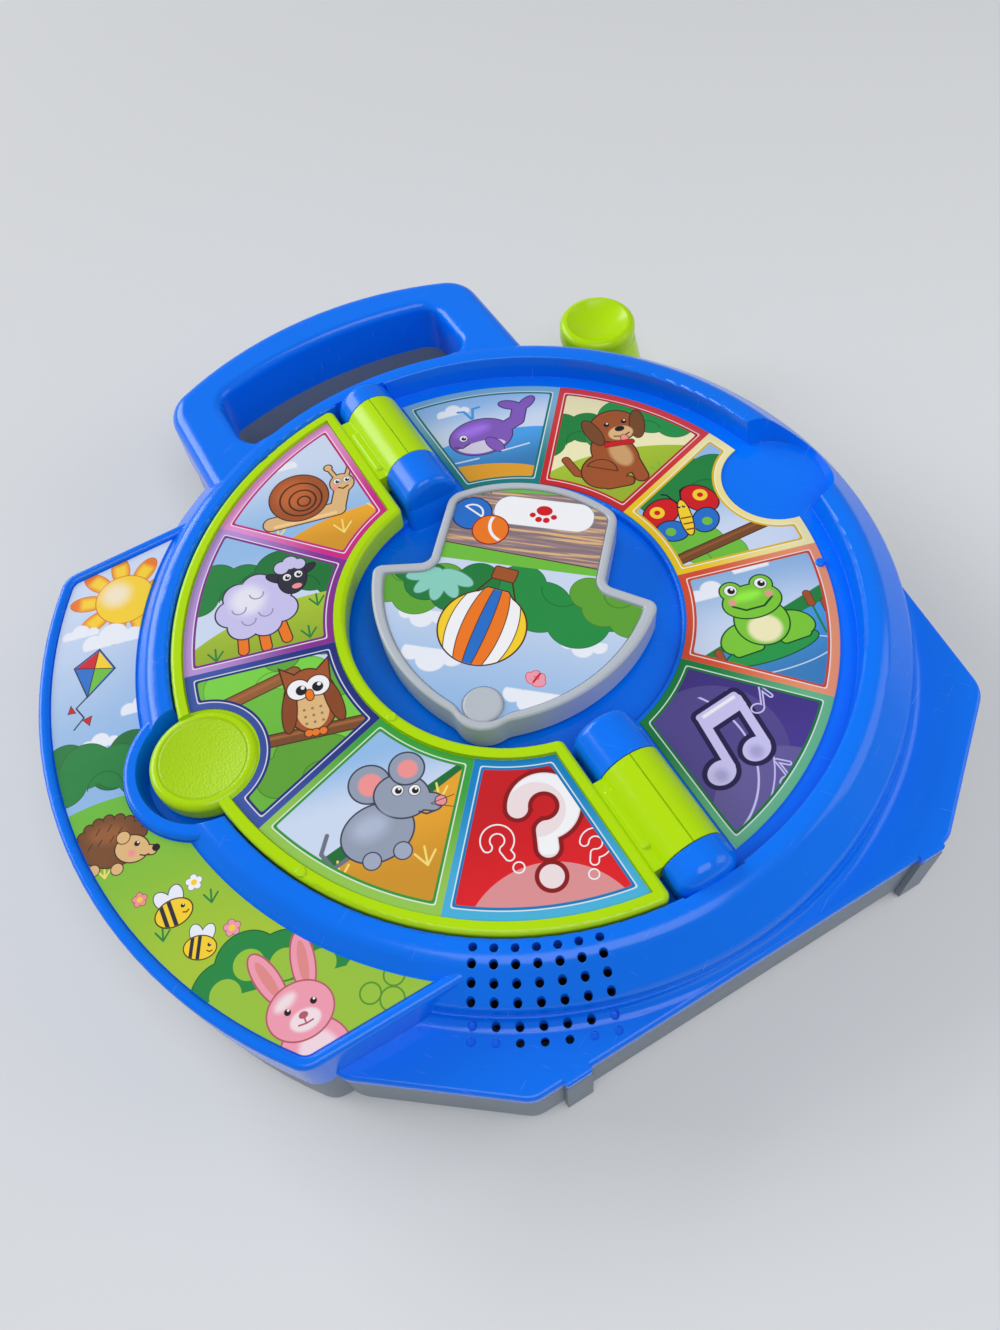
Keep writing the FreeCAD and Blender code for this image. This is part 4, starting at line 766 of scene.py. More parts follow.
def paint_mouse(spot, coat=MOUSE):
    art = spot.art
    art.colour = spot.fade(2, 16, SKY_PALE, SKY)
    art.fill(spot.beyond(0, -1, 112), toned(LEAF, 0.7))
    art.fill(spot.beyond(0, -4, 115), spot.fade(-17, 0, toned(OCHRE, 0.8), toned(OCHRE, 1.05)))
    for x, y in ((13, -1), (7, -15), (-12, -13)):
        paint_tuft(spot, x, y, STRAW)
    art.fill(spot.trail(0.5, (-8, -8), (-13, -10), (-15, -6), (-13, -2)), toned(coat, 0.5))
    art.inked(spot.oval(-2, -4.5, 8.2, 6.6, 12), coat, SLATE)
    art.inked(spot.discs((-4.5, -10.7, 1.9), (2.5, -10.2, 1.9)), toned(coat, 1.2), SLATE, 0.3)
    art.inked(spot.disc(-1.5, 7.5, 4.6), coat, SLATE)
    art.fill(spot.disc(-1.3, 7.3, 2.8), BLUSH, 0.4)
    art.inked(union(spot.oval(5, 2.6, 6.2, 5.2, -24), spot.limb(6, 1.5, 11.5, -0.8, 2.0)), coat, SLATE)
    art.inked(spot.disc(7.5, 9.0, 3.9), coat, SLATE)
    art.fill(spot.disc(7.7, 8.8, 2.3), BLUSH, 0.4)
    art.fill(spot.oval(-3.4, -2.8, 4.0, 2.8, 12), toned(coat, 1.45), 2.2)
    paint_eyes(spot, ((4.4, 4.2), (8.1, 3.2)), 1.1)
    art.inked(spot.disc(13.2, -1.0, 1.2), BLUSH, SLATE, 0.25)
    art.fill(spot.trail(0.22, (11.4, -3.0), (9.4, -3.2), (8.0, -2.2)), SLATE)
    art.fill(spot.limbs(0.1, (11.0, -1.2, 16.0, -3.4), (11.0, -1.0, 16.4, -0.4)), SLATE)


def question_mark(spot, dot_y):
    """A question mark round the centre of its own hook."""
    radius, width = 5.8, 2.3
    quarter = overlap(spot.beyond(0, 0, 0), spot.beyond(0, 0, 90))
    hook = overlap(abs(spot.disc(0, 0, radius)) - width, -quarter)
    stem = spot.limb(0, -radius, 0, -1.7 * radius, width)
    return union(hook, spot.disc(-radius, 0, width), stem, spot.disc(0, dot_y, 2.7))


def paint_question(spot, ground=RED):
    art = spot.art
    art.colour = spot.fade(-18, 12, toned(ground, 1.2), toned(ground, 0.9))
    art.fill(spot.disc(-4, -26, 20), blended(ground, WHITE, 0.3))
    art.fill(spot.disc(17, 19, 16), toned(ground, 0.72))
    mark = question_mark(spot.at(2.5, 6.5, -10), -16.4)
    art.fill(mark - 1.0, toned(ground, 0.4))
    art.fill(mark, blended(WHITE, ground, 0.2))
    art.fill(overlap(mark + 0.3, spot.disc(3, 9, 14), -spot.disc(0.6, 6.2, 6.6)), WHITE)
    for x, y, degrees, size in ((-9.5, 1.5, 22, 0.46), (10.8, -5.0, -20, 0.42)):
        art.stroke(question_mark(spot.at(x, y, degrees, size), -17), 0.36, WHITE)


def paint_whale(spot, skin=VIOLET):
    art = spot.art
    spot = spot.at(0, 0, 0, 0.88)
    art.colour = spot.fade(2, 16, SKY_PALE, SKY)
    paint_cloud(spot, -8, 13, 0.9)
    art.fill(spot.oval(0, -13, 30, 14), spot.fade(-16, 0, toned(WATER, 0.7), toned(WATER, 1.3)))
    art.fill(spot.oval(-8, -20, 24, 9, -10), OCHRE)
    body = union(spot.oval(-2, 0, 10.2, 7.6), spot.trail(2.2, (5, 1), (11, 3.5), (13, 8)))
    flukes = spot.ovals((10.6, 10.6, 3.8, 1.7, -28), (15.8, 9.8, 3.6, 1.7, 34))
    art.inked(union(body, flukes), skin, toned(skin, 0.25))
    art.fill(spot.oval(-4, 3.4, 5.5, 2.0, 6), toned(skin, 1.7), 2.0)
    art.fill(overlap(spot.oval(-2, 0, 9.6, 7.0), spot.oval(-4, -5.4, 9, 3.6, 4)), blended(skin, WHITE, 0.65))
    art.inked(spot.oval(1.5, -4.6, 1.9, 3.8, 28), skin, toned(skin, 0.25), 0.3)
    paint_eyes(spot, ((-7.6, 1.0),), 1.1)
    art.fill(spot.trail(0.26, (-11.2, -2.0), (-8.8, -3.0), (-6.2, -1.8)), toned(skin, 0.25))
    art.fill(union(spot.trail(0.45, (-3, 8.6), (-4.6, 12.4), (-6.6, 12.8)),
                   spot.trail(0.45, (-2.6, 8.6), (-1.6, 12.8), (0.6, 13.0))), toned(WATER, 1.1))
    art.fill(spot.limbs(0.3, (-13, -8.6, -5, -8.8), (3, -8.0, 12, -7.6)), SKY_PALE)


def paint_dog(spot, coat=RUST, ears=UMBER, sky=CREAM):
    art = spot.art
    art.colour = spot.fade(0, 16, sky, toned(sky, 0.9))
    paint_bush(spot, -9, 7, 1.3, LEAF)
    paint_bush(spot, 9, 5, 1.5, toned(LEAF, 1.3))
    art.fill(spot.oval(2, -20, 34, 18, -8), spot.fade(-17, 0, toned(MEADOW, 0.8), MEADOW))
    art.inked(spot.trail(1.0, (-8, -9), (-12, -6.5), (-13.5, -1)), coat, BARK, 0.3)
    haunch = spot.ovals((-4.5, -8, 6.4, 6.0, 20), (0, -3, 5.8, 8.0, 14))
    feet = (spot.limb(3.8, -5, 4.4, -12.8, 1.8), spot.limb(-5, -13, 0.5, -13.4, 1.5))
    art.inked(union(haunch, *feet), coat, BARK)
    art.fill(spot.oval(1.6, -3.4, 2.8, 4.8, 10), blended(coat, SAND, 0.7), 0.8)
    art.stroke(overlap(spot.disc(-5.5, -8, 4.4), spot.beyond(-5, -7, 240)), 0.16, BARK)
    art.inked(spot.oval(3, 7.0, 6.6, 5.8, -6), coat, BARK)
    art.inked(spot.ovals((-3.4, 6.4, 2.0, 5.2, 12), (9.4, 5.8, 2.0, 5.2, -14)), ears, BARK, 0.3)
    art.fill(spot.oval(4.0, 4.0, 3.5, 2.6), SAND, 0.3)
    art.fill(spot.oval(4.2, 5.6, 1.4, 1.0), INK)
    art.fill(spot.trail(0.2, (1.9, 3.3), (4.2, 2.6), (6.3, 3.4)), BARK)
    art.inked(spot.oval(4.4, 1.8, 1.0, 1.3), BLUSH, BARK, 0.2)
    paint_eyes(spot, ((1.0, 8.2), (6.0, 8.0)), 1.1, False)
    art.inked(spot.limb(-1.0, 0.8, 5.8, 0.0, 0.8), RED, BARK, 0.2)
    paint_tuft(spot, 10, -14, GRASS)


def paint_butterfly(spot, upper=RED, under=BLUE_INK):
    art = spot.art
    art.colour = spot.fade(-6, 10, SKY_PALE, SKY)
    paint_bush(spot, 6, 11, 1.7, LEAF)
    paint_bush(spot, -5, -10, 1.5, GRASS)
    art.inked(spot.limb(-18, -13, 18, -6, 1.4), UMBER, BARK, 0.3)
    art.fill(spot.limb(-16, -12.2, 16, -5.9, 0.25), toned(UMBER, 1.7), 0.4)
    fly = spot.at(2.6, 0.8, 0.0, 0.9)
    art.inked(fly.ovals((-9.7, 5, 5.9, 4.4, 28), (2.9, 6.8, 5.9, 4.4, -52)), upper, INK)
    art.inked(fly.ovals((-8.8, -2.4, 4.5, 3.6, -20), (1.8, -1.4, 4.5, 3.6, 52)), under, INK)
    art.fill(fly.discs((-10.8, 5.4, 2.2), (3.5, 8.0, 2.2)), SUN)
    art.fill(fly.discs((-9.4, -2.6, 1.5), (2.0, -2.0, 1.5)), GRASS)
    art.fill(fly.discs((-10.8, 5.4, 0.9), (3.5, 8.0, 0.9)), upper)
    art.fill(union(fly.trail(0.26, (-3.8, 6.5), (-6.0, 11), (-7.4, 11.6)),
                   fly.trail(0.26, (-3, 6.5), (-1.6, 11.4), (0, 12.2))), INK)
    art.inked(fly.oval(-3.4, 1.2, 1.7, 6.6, -6), SUN, INK, 0.35)
    art.fill(fly.limbs(0.28, *((-4.7, y, -2.1, y - 0.2) for y in (-3.2, -1.0, 1.2))), UMBER)
    paint_eyes(fly, ((-4.1, 5.6), (-2.7, 5.4)), 0.7, False)


def paint_frog(spot, skin=FROG):
    art = spot.art
    art.colour = spot.fade(-4, 16, SKY_PALE, toned(SKY, 0.9))
    paint_cloud(spot, -9, 10, 1.0)
    paint_cloud(spot, 3, 15, 0.8)
    art.fill(spot.beyond(0, -1, 108), LEAF)
    art.fill(spot.beyond(0, -4, 104), spot.fade(-18, -2, toned(WATER, 0.75), toned(WATER, 1.15)))
    art.stroke(spot.oval(-1, -12, 15, 4), 0.16, SKY_PALE)
    for x, y in ((13, -3), (-14, -13)):
        art.fill(spot.limbs(0.3, (x, y - 6, x, y + 4), (x + 2.6, y - 6, x + 3.2, y + 1)), LEAF)
        art.inked(spot.limbs(0.9, (x, y + 3, x, y + 6), (x + 3.2, y, x + 3.3, y + 2.6)), RUST, line=0.2)
    art.inked(spot.oval(-1, -9.5, 12, 3.2, 4), toned(LEAF, 1.4), line=0.3)
    edge = toned(LEAF, 0.3)
    legs = union(spot.oval(-7.8, -4.6, 5.0, 3.6, 30), spot.oval(6.6, -4.2, 5.0, 3.6, -26),
                 spot.limb(-9.4, -8.4, -4, -8.0, 1.1), spot.limb(8.4, -7.6, 3, -8.0, 1.1))
    art.inked(legs, skin, edge)
    art.inked(spot.oval(-0.6, -1.4, 6.6, 6.8), skin, edge)
    art.fill(spot.oval(-0.6, -3.6, 4.2, 4.0), CREAM, 0.8)
    head = union(spot.oval(-0.6, 5.0, 7.4, 4.9), spot.discs((-4.6, 9.2, 2.7), (3.4, 9.2, 2.7)))
    art.inked(head, skin, edge)
    art.fill(spot.oval(-1.2, 6.8, 3.6, 1.4), toned(skin, 1.5), 1.2)
    paint_eyes(spot, ((-4.6, 9.5), (3.4, 9.5)), 1.35)
    art.fill(spot.trail(0.28, (-5.8, 4.8), (-3, 2.8), (1.8, 2.8), (4.6, 4.8)), edge)
    art.fill(spot.discs((-5.4, 6.0, 0.9), (4.2, 6.0, 0.9)), BLUSH, 0.6)


def paint_notes(spot, ground=NIGHT):
    """Joined and single quavers on rings of a lighter ground."""
    art = spot.art
    art.colour = spot.fade(-18, 14, toned(ground, 1.35), toned(ground, 0.95))
    art.fill(spot.disc(-4, -2, 17), blended(ground, LILAC, 0.06))
    art.fill(spot.disc(6, -22, 17), blended(ground, LILAC, 0.14))
    art.fill(spot.arc(-18, -4, 22, 0.25, 0, 12, 90), LILAC)
    art.fill(spot.arc(-16, -2, 24.5, 0.18, 0, 12, 90), LILAC)
    big = spot.at(-1, 0.5, 8)
    notes = union(big.oval(-5, -8, 3.6, 2.9, 18), big.oval(5.2, -6, 3.6, 2.9, 18),
                  big.limb(-2.4, -7.4, -2.4, 5.6, 1.1), big.limb(7.8, -5.4, 7.8, 7.6, 1.1),
                  big.bar(2.7, 6.2, 5.2, 1.5, 0.9, 11.0))
    art.fill(notes - 1.2, toned(ground, 0.3))
    art.fill(notes, LILAC)
    art.fill(big.discs((-5.4, -8.6, 1.6), (4.8, -6.6, 1.6)), blended(LILAC, ground, 0.35), 1.2)
    art.fill(big.bar(2.7, 7.4, 4.6, 0.2, 0.2, 11.0), WHITE, 0.3)
    for x, y, degrees in ((11, 7.5, -16), (8.5, -11.5, 14)):
        small = spot.at(x, y, degrees, 0.55)
        quaver = union(small.oval(-2, -5, 2.8, 2.2, 18), small.limb(0.3, -4.6, 0.3, 5, 0.6),
                       small.limb(0.3, 5, 4.2, 1.2, 0.8))
        art.stroke(quaver, 0.36, LILAC)


def paint_rabbit(spot):
    """A sitting rabbit on whatever ground is there already."""
    art = spot.art
    edge = toned(blended(PINK, RED, 0.5), 0.6)
    art.inked(spot.ovals((-4.6, 15, 2.6, 7.2, 14), (4.2, 15.4, 2.6, 7.2, -10)), PINK, edge)
    art.fill(spot.ovals((-4.6, 15, 1.2, 5.2, 14), (4.2, 15.4, 1.2, 5.2, -10)), toned(BLUSH, 0.85))
    art.inked(spot.disc(-8.6, -8.5, 3.0), WHITE, edge, 0.3)
    art.inked(spot.oval(0, -5.4, 8.0, 8.2), PINK, edge)
    art.fill(spot.oval(0.8, -5.6, 4.6, 5.6), blended(PINK, WHITE, 0.6), 1.0)
    art.inked(spot.ovals((-4.6, -12.2, 4.0, 2.2), (5.2, -12.2, 4.0, 2.2)), PINK, edge)
    art.inked(spot.oval(0, 5.2, 7.6, 6.4), PINK, edge)
    art.fill(spot.oval(-2.6, 8.4, 2.8, 1.4, 20), blended(PINK, WHITE, 0.7), 1.0)
    art.fill(spot.oval(0.4, 2.8, 3.6, 2.4), blended(PINK, WHITE, 0.7), 0.5)
    paint_eyes(spot, ((-2.9, 6.2), (3.3, 6.2)), 1.1, False)
    art.fill(spot.oval(0.3, 4.0, 1.1, 0.8), edge)
    art.fill(spot.limbs(0.2, (-1.4, 2.2, 0.3, 2.0), (0.3, 2.0, 0.3, 3.4), (0.3, 2.0, 2.0, 2.2)), edge)


def paint_hedgehog(spot):
    """A hedgehog in profile on whatever ground is there already."""
    art = spot.art
    spines = ((*polar(turn, 9.4, 7.8), 1.5) for turn in range(20, 201, 20))
    art.inked(union(spot.oval(0, 0, 9.4, 7.6), spot.discs(*spines)), UMBER, BARK)
    art.fill(spot.oval(-1.5, 3.0, 5.4, 3.0), toned(UMBER, 1.6), 2.0)
    hairs = ((-5, 3), (-1.6, 4), (1.8, 3), (-4, -0.6), (-0.4, 0.4), (-6.8, -1.6))
    art.fill(spot.limbs(0.16, *((x, y, x + 1.0, y + 2.0) for x, y in hairs)), BARK)
    art.inked(union(spot.oval(6.4, -2.4, 5.0, 4.2, -10), spot.limb(9, -3.0, 12.4, -3.4, 1.4)), SAND, BARK)
    art.inked(spot.discs((-4.5, -8.2, 1.7), (2.5, -8.4, 1.7)), SAND, BARK, 0.3)
    art.inked(spot.disc(3.4, 1.4, 1.9), SAND, BARK, 0.3)
    art.fill(spot.disc(13.6, -2.8, 1.2), INK)
    paint_eyes(spot, ((7.6, -0.8),), 1.2, False)
    art.fill(spot.trail(0.22, (9.0, -4.6), (10.4, -5.0), (11.6, -4.6)), BARK)
    art.fill(spot.disc(6.4, -3.8, 1.1), BLUSH, 0.6)


def paint_bee(bee):
    """A round striped bee."""
    art = bee.art
    art.inked(bee.ovals((-1.6, 4.2, 1.9, 3.0, 24), (1.8, 4.2, 1.9, 3.0, -18)), CLOUD, SLATE, 0.25)
    art.inked(bee.oval(0, 0, 4.8, 3.5), SUN, BARK, 0.35)
    art.fill(overlap(bee.oval(0, 0, 4.8, 3.5), union(abs(bee.beyond(-2.6, 0, 0)) - 0.55,
                                                     abs(bee.beyond(-0.4, 0, 0)) - 0.55)), COAL)
    paint_eyes(bee, ((2.6, 0.9),), 0.8, False)
    art.fill(bee.trail(0.18, (2.2, -0.9), (3.0, -1.3), (3.7, -0.9)), BARK)


# ------------------------------------------------------------------ labels
def paint_panel(art, sheet, start, reach, hinge, notch, inner_band, outer_band, picture, options):
    """One sector: a border that pales outwards, a fine light rule and the picture inside it.
    start is the sector's first angle, reach its inner and outer radius, hinge the x of the straight edge and
    notch the x and radius of the cut-out for a tab."""
    recipe = art.recipe
    inner, outer = reach
    sector = overlap(sheet.beyond(0, 0, start - 90.0), sheet.beyond(0, 0, start + SECTOR + 90.0))
    away = sheet.disc(0, 0, 0)
    pale = away.between(inner + BAND_FROM, outer - BAND_TO)
    art.fill(sector, recipe.mix(pale, inner_band, outer_band))
    bounds = [away - (outer - LABEL_RIM), inner - away, sheet.beyond(hinge, 0, 0.0 if hinge < 0 else 180.0)]
    if (start + SECTOR / 2) % 180.0 == 0.0:
        bounds.append(-sheet.disc(*notch))
    depth = sector
    for bound in bounds:
        depth = depth.math("SMOOTH_MAX", bound, CORNER_SOFT)
    art.fill(depth + BORDER_RULE, toned(inner_band, 0.85))
    art.stroke(depth + BORDER_RULE, BORDER_RULE_HALF, blended(outer_band, WHITE, 0.75))
    centre = (inner + outer) / 2 - (NOTCH_SHIFT if len(bounds) > 3 else 0.0)
    spot = sheet.at(*polar(start + SECTOR / 2, centre), PICTURE_TURN, PICTURE_SIZE)
    art.fill(depth + BORDER, art.drawing(picture, spot, **options))


def half_label(name, side, seen, reach, hinge, notch, panels):
    """Five picture sectors on one half of the disc. side is -1 on the left; seen is -1 for a print that
    is seen from behind; panels run downwards from the handle end."""
    recipe = Recipe(name)
    art = Art(recipe, panels[0][1])
    sheet = art.sheet(seen)
    for count, panel in enumerate(panels):
        start = FIRST_SECTOR + SECTOR * count
        start = 90.0 + start if side < 0 else 90.0 - start - SECTOR
        paint_panel(art, sheet, start, reach, side * hinge, (side * NOTCH_X, 0, notch), *panel)
    return laminate(recipe, art)


def laminate(recipe, art):
    """The print under a clear film with a fine grain."""
    p = recipe.place()
    grain = recipe.noise(p, 1.0 / FILM_GRAIN_SIZE)
    ripple = recipe.noise(p, 1.0 / FILM_RIPPLE_SIZE, 1.0)
    haze = recipe.noise(p, HAZE_SCALE, 3.0)
    rough = haze * FILM_HAZE + FILM_ROUGH
    return recipe.surface(Base_Color=art.colour, Roughness=rough, Specular_IOR_Level=FILM_SPECULAR,
                          Normal=recipe.bump(grain * FILM_GRAIN + ripple * FILM_RIPPLE, MM))


def paint_wing_sky(spot):
    """Sun, clouds and a kite; measured from the spinner axis."""
    art = spot.art
    art.colour = spot.fade(10, 78, toned(SKY, 0.95), SKY_PALE)
    sun = spot.at(-98, 66.5, PICTURE_TURN)
    rays = sun.rays(0, 0, 11.4, 5.2, 2.7, range(12, 372, 40))
    art.inked(rays, ORANGE, toned(ORANGE, 0.7), 0.25)
    art.fill(overlap(rays + 0.6, sun.disc(0, 0, 13.5)), SUN, 1.2)
    art.inked(sun.disc(0, 0, 8.8), SUN, toned(ORANGE, 0.8), 0.3)
    art.fill(sun.disc(-2.5, 2.5, 4.2), blended(SUN, WHITE, 0.6), 2.6)
    for x, y, size in ((-106, 54, 1.5), (-114, 61, 0.9), (-106, 27, 1.1), (-121, 22, 0.9)):
        paint_cloud(spot.at(x, y, PICTURE_TURN), 0, 0, size)
    kite = spot.at(-115, 46, PICTURE_TURN - 16)
    art.fill(kite.trail(0.22, (0, -8), (-2.5, -12), (0.5, -15), (-1.5, -19)), COAL)
    art.inked(union(kite.wedge((-2.5, -13.4), (-4.2, -11.4), (-4.4, -13.8)),
                    kite.wedge((0.5, -15.8), (2.6, -17.4), (2.6, -14.6))), RED, INK, 0.2)
    art.inked(kite.wedge((0, 8), (-6, 1.5), (0, -8), (6, 1.5)), BLUE_INK, INK, 0.35)
    art.fill(kite.wedge((0, 7.6), (-5.6, 1.5), (0, 1.5)), RED)
    art.fill(kite.wedge((0, -7.6), (5.6, 1.5), (0, 1.5)), GRASS)
    art.fill(kite.wedge((0, 7.6), (0, 1.5), (5.6, 1.5)), SUN)
    art.fill(kite.limbs(0.14, (0, -7.6, 0, 7.6), (-5.6, 1.5, 5.6, 1.5)), INK)


def paint_wing_meadow(spot):
    """Bushes and the meadow with flowers and a hedge."""
    art = spot.art
    for x, y, size, shade in ((-130, 17, 1.3, 0.9), (-112, 10, 1.5, 0.75), (-125, 12, 1.6, 1.0)):
        paint_bush(spot.at(x, y, PICTURE_TURN), 0, 0, size, toned(LEAF, shade))
    hill = spot.at(-126, -14, PICTURE_TURN).oval(0, -48, 60, 66)
    art.fill(hill, spot.fade(-60, 6, MEADOW, toned(GRASS, 0.95)))
    paint_tuft(spot.at(-133, -17, PICTURE_TURN), 0, 0, STRAW)
    for x, y, petals, size in ((-113, -30.5, WHITE, 0.9), (-127, -27.5, BLUSH, 0.8), (-109, -47, PINK, 0.9)):
        paint_flower(spot.at(x, y, PICTURE_TURN), 0, 0, petals, size)
    for x, y in ((-125.5, -41), (-111, -38)):
        paint_tuft(spot.at(x, y, PICTURE_TURN), 0, 0, LEAF, 0.8)
    hedge = spot.discs((-117, -62, 6), (-109, -58, 6), (-101, -62.5, 6), (-93, -67, 5.6), (-86, -73, 5))
    art.inked(hedge - 2.6, toned(LEAF, 1.1), toned(LEAF, 0.5), 0.3)
    art.fill(union(hedge + 2.0, spot.beyond(-98, -68, 74)), blended(GRASS, SUN, 0.2))
    art.stroke(spot.discs((-82, -84, 3), (-86, -80, 2.6), (-79, -79, 2.6)), 0.22, toned(GRASS, 0.55))


def wing_label(name):
    """Sky over a meadow down the wing: sun, kite, hedgehog, flowers with bees, and a rabbit."""
    r = Recipe(name)
    art = Art(r, SKY_PALE)
    sheet = art.sheet()
    art.stamp(paint_wing_sky, sheet)
    art.stamp(paint_wing_meadow, sheet)
    art.stamp(paint_hedgehog, sheet.at(-128.2, -8.5, PICTURE_TURN - 10, 0.9))
    art.stamp(paint_bee, sheet.at(-120.5, -35.5, PICTURE_TURN + 12))
    art.stamp(paint_bee, sheet.at(-118, -47.5, PICTURE_TURN - 14, 0.85))
    art.stamp(paint_rabbit, sheet.at(-103, -80.5, PICTURE_TURN + 10, 1.08))
    return laminate(r, art)


def paint_woods(spot):
    """Sky, bushes, grass and a log for the pointer; upwards is towards the tip."""
    art = spot.art
    art.colour = spot.fade(-10, 46, SKY_PALE, toned(SKY, 0.95))
    for x, y, size in ((18, 22, 1.5), (-13, 31, 1.4), (24, 9, 1.2), (-24, 12, 1.1)):
        paint_cloud(spot.at(x, y), 0, 0, size)
    paint_bush(spot, -17, -2, 2.1, toned(LEAF, 1.2))
    paint_bush(spot, -33, -3.5, 1.5, toned(GRASS, 0.7))
    paint_bush(spot, 31, -3, 1.7, toned(GRASS, 0.75))
    paint_bush(spot, 20, -5, 1.6, toned(LEAF, 0.9))
    art.inked(spot.rays(22, -7, 5.4, 5.4, 2.2, range(20, 195, 35)), AQUA, toned(AQUA, 0.5), 0.25)
    art.fill(spot.beyond(0, -12, 90), GRASS)
    log = spot.beyond(0, -16.5, 86)
    art.inked(log, blended(RUST, MOUSE, 0.5), BARK, 0.35)
    grain = spot.recipe.noise(spot.recipe.scaled(spot.vector, (0.035, 0.8, 0.0)), 1.0, 3.0)
    art.fill(overlap(log + 0.5, grain * -8.0 + 4.2), blended(UMBER, MOUSE, 0.4), 0.3)
    art.fill(overlap(log + 0.5, grain * 8.0 - 3.4), SAND, 0.4)
    art.fill(spot.beyond(0, -40.5, 94), GRASS)
    paint_tuft(spot, 16, -42, LEAF)


def paint_badge(spot):
    """A plain white badge with a paw, and two play balls beside it."""
    art = spot.art
    art.inked(spot.bar(0, 0, 10.4, 0.4, 5.0), WHITE, MOUSE, 0.2)
    toes = ((-3.3, 0.9, 0.95), (-1.2, 2.4, 1.05), (1.2, 2.4, 1.05), (3.3, 0.9, 0.95))
    art.fill(union(spot.oval(0, -1.2, 2.5, 1.9), spot.discs(*toes)), RED)
    art.inked(spot.disc(22, 3, 6.0), BLUE_INK, toned(NAVY, 0.4))
    art.stroke(overlap(spot.disc(22, 3, 3.4), spot.beyond(22, 2, 60)), 0.3, WHITE)
    art.inked(spot.disc(15, 8.5, 5.4), ORANGE, toned(RED, 0.4))
    art.fill(overlap(abs(spot.disc(9, 6, 6.6)) - 0.5, spot.disc(15, 8.5, 5.0)), WHITE)


def paint_balloon(spot):
    """A striped hot-air balloon."""
    art = spot.art
    art.fill(spot.limbs(0.2, (-6.4, -5, -2.2, -13.4), (6.4, -5, 2.2, -13.4)), BARK)
    bag = union(spot.disc(0, 2, 10.6), spot.wedge((-8.4, -3.5), (-2.6, -9.4), (2.6, -9.4), (8.4, -3.5)))
    art.inked(bag, SUN, BARK)
    for across, colour in ((8.4, WHITE), (5.0, ORANGE), (1.6, BLUE_INK)):
        gore = spot.oval(0, 2, across, 14.6)
        art.fill(overlap(bag, gore), colour)
        art.fill(overlap(bag, abs(gore) - 0.12), BARK)
    art.inked(spot.bar(0, -14.4, 2.4, 1.3, 0.5), RUST, BARK, 0.3)


def paint_moth(spot):
    art = spot.art
    art.inked(spot.ovals((-2.4, 1.6, 3.0, 1.9, 40), (2.4, 1.6, 3.0, 1.9, -40),
                         (-1.8, -1.6, 2.0, 1.4, -40), (1.8, -1.6, 2.0, 1.4, 40)), PINK, RED, 0.3)
    art.fill(spot.limb(0, -2.6, 0, 2.6, 0.5), RED)


def pointer_label(name):
    """Sky, trees and a log, with a hot-air balloon, a butterfly and a plain paw badge."""
    r = Recipe(name)
    art = Art(r, SKY)
    sheet = art.sheet().at(0, 0, POINTER_TURN)
    art.stamp(paint_woods, sheet)
    art.stamp(paint_badge, sheet.at(-4, -33))
    art.stamp(paint_balloon, sheet.at(5.5, 8.5, -8, 1.2))
    art.stamp(paint_moth, sheet.at(-13, 25, -24, 0.62))
    return laminate(r, art)


MAGENTA_BAND = (srgb(210, 36, 138), srgb(232, 150, 214))
PURPLE_BAND = (srgb(136, 44, 150), srgb(186, 148, 220))
NAVY_BAND = (srgb(26, 44, 130), srgb(58, 86, 168))
GREEN_BAND = (srgb(56, 164, 60), srgb(150, 202, 82))
CYAN_BAND = (srgb(0, 132, 202), srgb(70, 178, 224))
TEAL_BAND = (srgb(16, 128, 128), srgb(126, 182, 214))
RED_BAND = (srgb(204, 36, 40), srgb(216, 62, 64))
YELLOW_BAND = (srgb(240, 202, 22), srgb(246, 236, 172))
CORAL_BAND = (srgb(218, 78, 46), srgb(240, 152, 112))
SPRUCE_BAND = (srgb(18, 128, 60), srgb(104, 186, 138))

# Panels of each half: the border's colour at its inner and outer rim, the picture and its own colours
FIRST_PAGE = ((*MAGENTA_BAND, paint_snail, {}), (*PURPLE_BAND, paint_sheep, {}),
              (*NAVY_BAND, paint_owl, {}), (*GREEN_BAND, paint_mouse, {}), (*CYAN_BAND, paint_question, {}))
FIRST_RECESS = ((*TEAL_BAND, paint_whale, {}), (*RED_BAND, paint_dog, {}),
                (*YELLOW_BAND, paint_butterfly, {}), (*CORAL_BAND, paint_frog, {}),
                (*SPRUCE_BAND, paint_notes, {}))
SECOND_PAGE = ((*CYAN_BAND, paint_whale, {"skin": BLUE_INK}), (*YELLOW_BAND, paint_snail, {"shell": VIOLET}),
               (*CORAL_BAND, paint_butterfly, {"upper": ORANGE, "under": VIOLET}),
               (*GREEN_BAND, paint_dog, {"coat": MOUSE, "ears": SLATE, "sky": SKY_PALE}),
               (*MAGENTA_BAND, paint_notes, {"ground": toned(BLUE_INK, 0.6)}))
SECOND_RECESS = ((*SPRUCE_BAND, paint_frog, {"skin": AQUA}), (*RED_BAND, paint_mouse, {"coat": SAND}),
                 (*TEAL_BAND, paint_owl, {"coat": SLATE, "breast": MOUSE, "leaves": MEADOW}),
                 (*PURPLE_BAND, paint_sheep, {"fleece_tone": CREAM}),
                 (*YELLOW_BAND, paint_question, {"ground": toned(VIOLET, 0.8)}))


# ------------------------------------------------------------------ new pieces
def only(kind, parts):
    """The vertices or edges among what an operator made."""
    return [part for part in parts if isinstance(part, kind)]


def turn_about(degrees, axis):
    return Matrix.Rotation(math.radians(degrees), 3, axis)


def screw_points():
    ring = [polar(turn, SCREW_RING_R) for turn in SCREW_RING_ANGLES]
    return [(x * MM, y * MM) for x, y in (*ring, *SCREW_OTHERS)]


